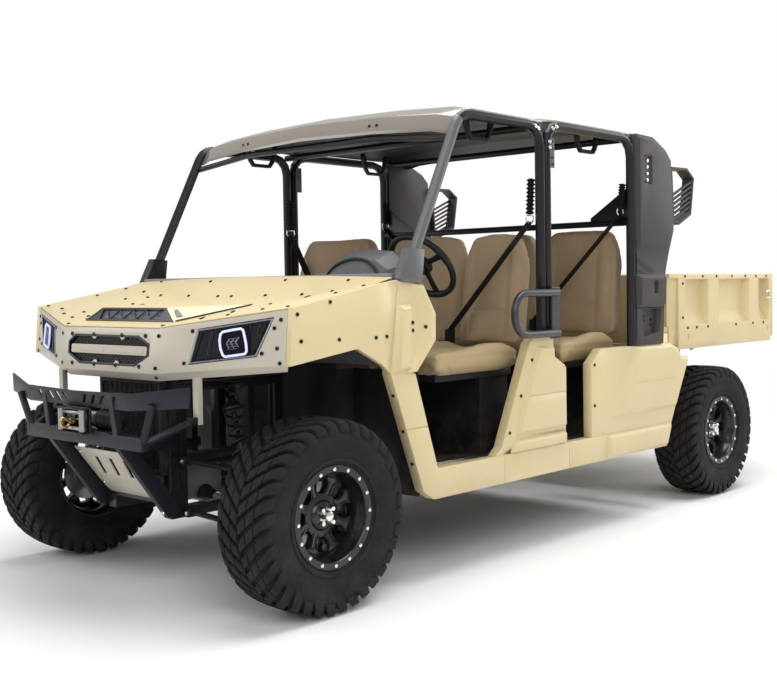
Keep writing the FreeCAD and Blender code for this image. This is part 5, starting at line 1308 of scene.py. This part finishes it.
# Winch: a steel drum wound with rope between a motor and a gear case, behind a fairlead of four bright rollers,
# with a brass-plated hook on the rope's end. It stands on the bumper's beam.
steel_rope = skin_material("steel_rope", (0.22, 0.21, 0.20), 0.45, metallic=0.7, grain=700.0, bump=0.3,
                           wear=0.2, dust=0.2)
brass = skin_material("brass", (0.50, 0.34, 0.14), 0.35, metallic=0.9, grain=400.0, bump=0.05, wear=0.4,
                      dust=0.2)
wound = [(-60, 0)] + [(-60 + k * 2.5, 27 + (1.4 if k % 2 else -1.0)) for k in range(49)] + [(60, 0)]
rope = [lathed("rope", wound, at(420, 0, 690.3), steps=40, closed=False),
        tubed("rope_end", [at(432, 8, 700), at(470, 3, 694), at(512, 0, 691)], 4)]
cases = []
for side in (1, -1):
    case = [(62, 0), (62, 37), (70, 37), (72, 34)] + [(80 + 12 * k + d, r) for k in range(7) for d, r in (
        (0, 35), (6, 35), (7, 33), (11, 33))] + [(174, 35), (186, 31), (190, 22), (190, 0)]
    cases.append(lathed("winch_case", case, at(420, 0, 690.3), (0, side, 0), 40, closed=False))
cases.append(bevelled(block("winch_tray", at(372, -200, 650.4), at(480, 200, 656.4)), 0.0015, 1))
cases.append(bevelled(ringed("fairlead", [at(490, y, z) for y,
                                          z in ((-95, 645), (95, 645), (95, 741), (-95, 741))], 22,
                             (-0.009, 0, 0)), 0.0015, 1))
for low in (645, 735):
    cases.append(bevelled(block("fairlead_flange", at(489, -90, low), at(522, 90, low + 6)), 0.0015, 1))
rollers = [lathed("roller", [(0, 0), (0, 9), (2, 13), (82, 13), (84, 9), (84, 0)], at(506, y, 652), (0, 0, 1),
                  32, closed=False)
           for y in (-72, 72)]
rollers += [lathed("roller", [(-58, 0), (-58, 6), (-56, 7.5), (56, 7.5), (58, 6), (58, 0)], at(506, 0, z),
                   (0, 1, 0), 32,
                   closed=False) for z in (662, 724)]
hook = tubed("hook", [at(x, 0, z) for x, z in ((510, 691), (522, 692), (534, 700), (545, 703), (552, 694),
                                               (552, 682),
                                               (545, 672), (534, 668), (524, 671), (519, 678))], 5.6, sides=4)
eye = lathed("hook_eye", [(-5, 6), (-5, 12), (5, 12), (5, 6)], at(506, 0, 690.3), (0, 1, 0), 24)
fitted(smoothed(joined("winch_body", cases), 40), frame_black, "chassis", "frame_black", "winch")
fitted(smoothed(joined("winch_rope", rope), 50), steel_rope, "chassis", "steel_dark", "winch")
roller_steel = skin_material("roller_steel", (0.34, 0.34, 0.335), 0.3, metallic=0.9, grain=500.0, bump=0.04,
                             wear=0.2,
                             dust=0.1)
fitted(smoothed(joined("winch_rollers", rollers), 40), roller_steel, "chassis", "alloy", "winch")
fitted(smoothed(joined("winch_hook", [hook, eye]), 50), brass, "chassis", "alloy", "winch")

# Radiator: a pressed tank frame round a core of thin level fins and flat tubes.
core_parts = [bevelled(ringed("radiator_frame", [at(260, y, z) for y,
                                                 z in ((-205, 470), (205, 470), (205, 834),
                                                                           (-205, 834))], 20, (-0.034, 0, 0)),
                                                                           0.003, 2),
              block("radiator_core", at(228, -190, 484), at(248, 190, 820))]
core_parts += [block("fin", at(246, -186, 489 + 7.2 * k), at(256, 186, 491 + 7.2 * k)) for k in range(46)]
core_parts += [block("flat_tube", at(244, y - 1.5, 488), at(254, y + 1.5, 818)) for y in range(-170, 171, 34)]
fitted(joined("radiator_fins", core_parts), black_plastic, "chassis", "plastic_black", "radiator")

# Brake discs: bright ground steel inside each rim, bolted to the hub, turning with the wheel.
disc = lathed("brake_disc", [(-22, 46), (-22, 66), (-20, 68), (-22, 70), (-22, 116), (-20, 118), (-18, 118),
                             (-16, 116),
                             (-16, 46)], steps=64)
smoothed(disc, 30)
for corner in ("fl", "fr", "rl", "rr"):
    fitted(at_wheel(disc, "brake_disc", corner), roller_steel, "wheel_" + corner, "steel_dark")
bpy.data.objects.remove(disc)

# Door-latch plates on the centre pillars, the binnacle's arched visor and the bed's tie-down rings.
for side in (1, -1):
    tag = "left" if side > 0 else "right"
    plate = bevelled(block("latch_plate", at(-1402, side * 842 - 2.5, 1690),
                           at(-1361, side * 842 + 2.5, 1822)), 0.0012, 1)
    fitted(plate, hoop_grey, "chassis", "frame_black")
    plate.name = "latch_plate_" + tag
    holes = copies("latch_bolts_" + tag, bolt_head(0.0055, 0.003), [(at(-1386, side * 844.5, z), (0, side, 0))
                                                                   for z in (1706, 1736, 1776, 1806)])
    fitted(holes, bolt_black, "chassis", "frame_black")
    ring = tubed("tie_ring", round_path([at_rear(x, side * 782, z) for x, z in (
        (-792, 1112), (-770, 1112), (-766, 1072), (-812, 1072), (-808, 1112), (-789, 1112))], 0.008, 4), 3.6)
    pad = bevelled(block("tie_pad", at_rear(-808, side * 777.5 - 2.5, 1104),
                         at_rear(-772, side * 777.5 + 2.5, 1122)), 0.0015, 1)
    fitted(joined("tie_ring_" + tag, [ring, pad]), bolt_bright, "bed", "alloy")
arch = [on_face("dashboard", at(500, 510 + 150 * math.cos(k * math.pi / 18),
                                1192 + 92 * math.sin(k * math.pi / 18)),
                (-1, 0, 0)) for k in range(19)]
visor = tubed("binnacle_visor", [place + normal * 0.002 for place, normal in arch], 7, sides=3)
fitted(visor, black_plastic, "chassis", "plastic_black")

# Door thresholds: ribbed aluminium strips riveted along the floor's edge in each front doorway.
for side in (1, -1):
    place = on_face("floor_pan", at(-800, side * 730, 760), (0, 0, -1))[0]
    strips = [block("threshold", Vector((front_axle - 1.0, min(side * 0.69, side * 0.772), place.z)),
                    Vector((front_axle - 0.60, max(side * 0.69, side * 0.772), place.z + 0.002)))]
    strips += [block("threshold_rib", Vector((front_axle - 0.99, side * y - 0.0015, place.z + 0.001)),
                     Vector((front_axle - 0.61, side * y + 0.0015, place.z + 0.0035))) for y in (0.70, 0.715,
                             0.73, 0.745, 0.76)]
    fitted(joined("threshold_" + ("left" if side > 0 else "right"), strips), bolt_bright, "chassis", "alloy")

# Bed corners: small folded plates that close the lower front corners between the side bands and the front board.
for side in (1, -1):
    corner_plate = block("bed_corner", at_rear(292, side * 754.5 - 3.5, 838.5),
                         at_rear(372, side * 754.5 + 3.5, 937))
    corner_plate.name = "bed_corner_" + ("left" if side > 0 else "right")
    fitted(bevelled(corner_plate, 0.0015, 2), bed_paint, "bed", "body_sand")
# Studio: a pale floor with the vehicle's own shadow, three large soft lamps and a white surround.
bpy.ops.object.select_all(action="DESELECT")
bpy.ops.mesh.primitive_plane_add(size=60, location=(0, 0, 0))
floor = bpy.context.object
floor.name = "studio_floor"
floor_paint = bpy.data.materials.new("floor_paint")
floor_paint.use_nodes = True
floor_tree = floor_paint.node_tree
floor_shader = floor_tree.nodes["Principled BSDF"]
floor_shader.inputs["Base Color"].default_value = (0.93, 0.93, 0.93, 1)
floor_shader.inputs["Roughness"].default_value = 0.9
away = floor_tree.nodes.new("ShaderNodeVectorMath")
away.operation = "LENGTH"
floor_tree.links.new(floor_tree.nodes.new("ShaderNodeTexCoord").outputs["Object"], away.inputs[0])
glow, both = floor_tree.nodes.new("ShaderNodeEmission"), floor_tree.nodes.new("ShaderNodeMixShader")
floor_tree.links.new(ramp_of(floor_tree, away.outputs["Value"], 2.6, 4.6), both.inputs[0])
floor_tree.links.new(floor_shader.outputs[0], both.inputs[1])
floor_tree.links.new(glow.outputs[0], both.inputs[2])
floor_tree.links.new(both.outputs[0], floor_tree.nodes["Material Output"].inputs["Surface"])
floor.data.materials.append(floor_paint)


def white_background():
    """White where the camera, gloss or glass looks past the object, and a plain level of light elsewhere."""
    world = bpy.data.worlds.new("studio")
    bpy.context.scene.world = world
    world.use_nodes = True
    tree = world.node_tree
    background = tree.nodes["Background"]
    paths = tree.nodes.new("ShaderNodeLightPath")
    seen = node_in(tree, "ShaderNodeMath", operation="MAXIMUM")
    tree.links.new(paths.outputs["Is Camera Ray"], seen.inputs[0])
    tree.links.new(paths.outputs["Is Transmission Ray"], seen.inputs[1])
    glossy = node_in(tree, "ShaderNodeMath", operation="MULTIPLY")
    glossy.inputs[1].default_value = 0.3
    tree.links.new(paths.outputs["Is Glossy Ray"], glossy.inputs[0])
    bright = node_in(tree, "ShaderNodeMath", operation="MAXIMUM")
    tree.links.new(seen.outputs[0], bright.inputs[0])
    tree.links.new(glossy.outputs[0], bright.inputs[1])
    tree.links.new(ramp_of(tree, bright.outputs[0], 0.0, 1.0, 0.30, 1.0), background.inputs["Strength"])
    background.inputs["Color"].default_value = (1, 1, 1, 1)


white_background()
# name, place, aim, size, watts
lamps = [("key", (4.5, 5.5, 4.5), (0, 0, 0.8), 4.0, 195.0),
         ("fill", (5.5, -4.5, 3.5), (0.5, 0, 0.8), 4.0, 130.0),
         ("top", (-0.5, 0.5, 6.0), (0, 0, 0), 5.0, 430.0),
         ("back", (-6.0, 3.0, 3.5), (-1, 0, 0.8), 4.0, 130.0)]
for name, place, aim, size, watts in lamps:
    bpy.ops.object.light_add(type="AREA", location=place)
    lamp = bpy.context.object
    lamp.name = "lamp_" + name
    lamp.data.energy = watts
    lamp.data.size = size
    lamp.rotation_euler = (Vector(aim) - Vector(place)).to_track_quat("-Z", "Y").to_euler()

# Camera at the photograph's place: low, ahead of the left front corner.
camera_place = (4.3104, 3.7439, 1.1725)
camera_azimuth, camera_elevation, camera_roll = 131.2139, 2.4222, -0.7855
picture_width, picture_height = 777, 673
picture_focal, picture_centre = 1111.62, (441.28, 332.61)


def photo_camera():
    turn, rise, roll = (math.radians(a) for a in (camera_azimuth, camera_elevation, camera_roll))
    back = Vector((math.sin(turn) * math.cos(rise), -math.cos(turn) * math.cos(rise), math.sin(rise)))
    right = Vector((math.cos(turn), math.sin(turn), 0))
    up = back.cross(right)
    across = right * math.cos(roll) + up * math.sin(roll)
    upward = up * math.cos(roll) - right * math.sin(roll)
    bpy.ops.object.camera_add(location=camera_place)
    camera = bpy.context.object
    camera.name = "photo_camera"
    camera.matrix_world = Matrix.Translation(camera_place) @ Matrix((across, upward,
                                                                     back)).transposed().to_4x4()
    camera.data.sensor_width = 36.0
    camera.data.lens = picture_focal * camera.data.sensor_width / picture_width
    camera.data.shift_x = (picture_width / 2 - picture_centre[0]) / picture_width
    camera.data.shift_y = (picture_centre[1] - picture_height / 2) / picture_width
    camera.data.clip_start, camera.data.clip_end = 0.05, 100.0
    bpy.context.scene.camera = camera


photo_camera()
bpy.context.scene.view_settings.view_transform = "Standard"
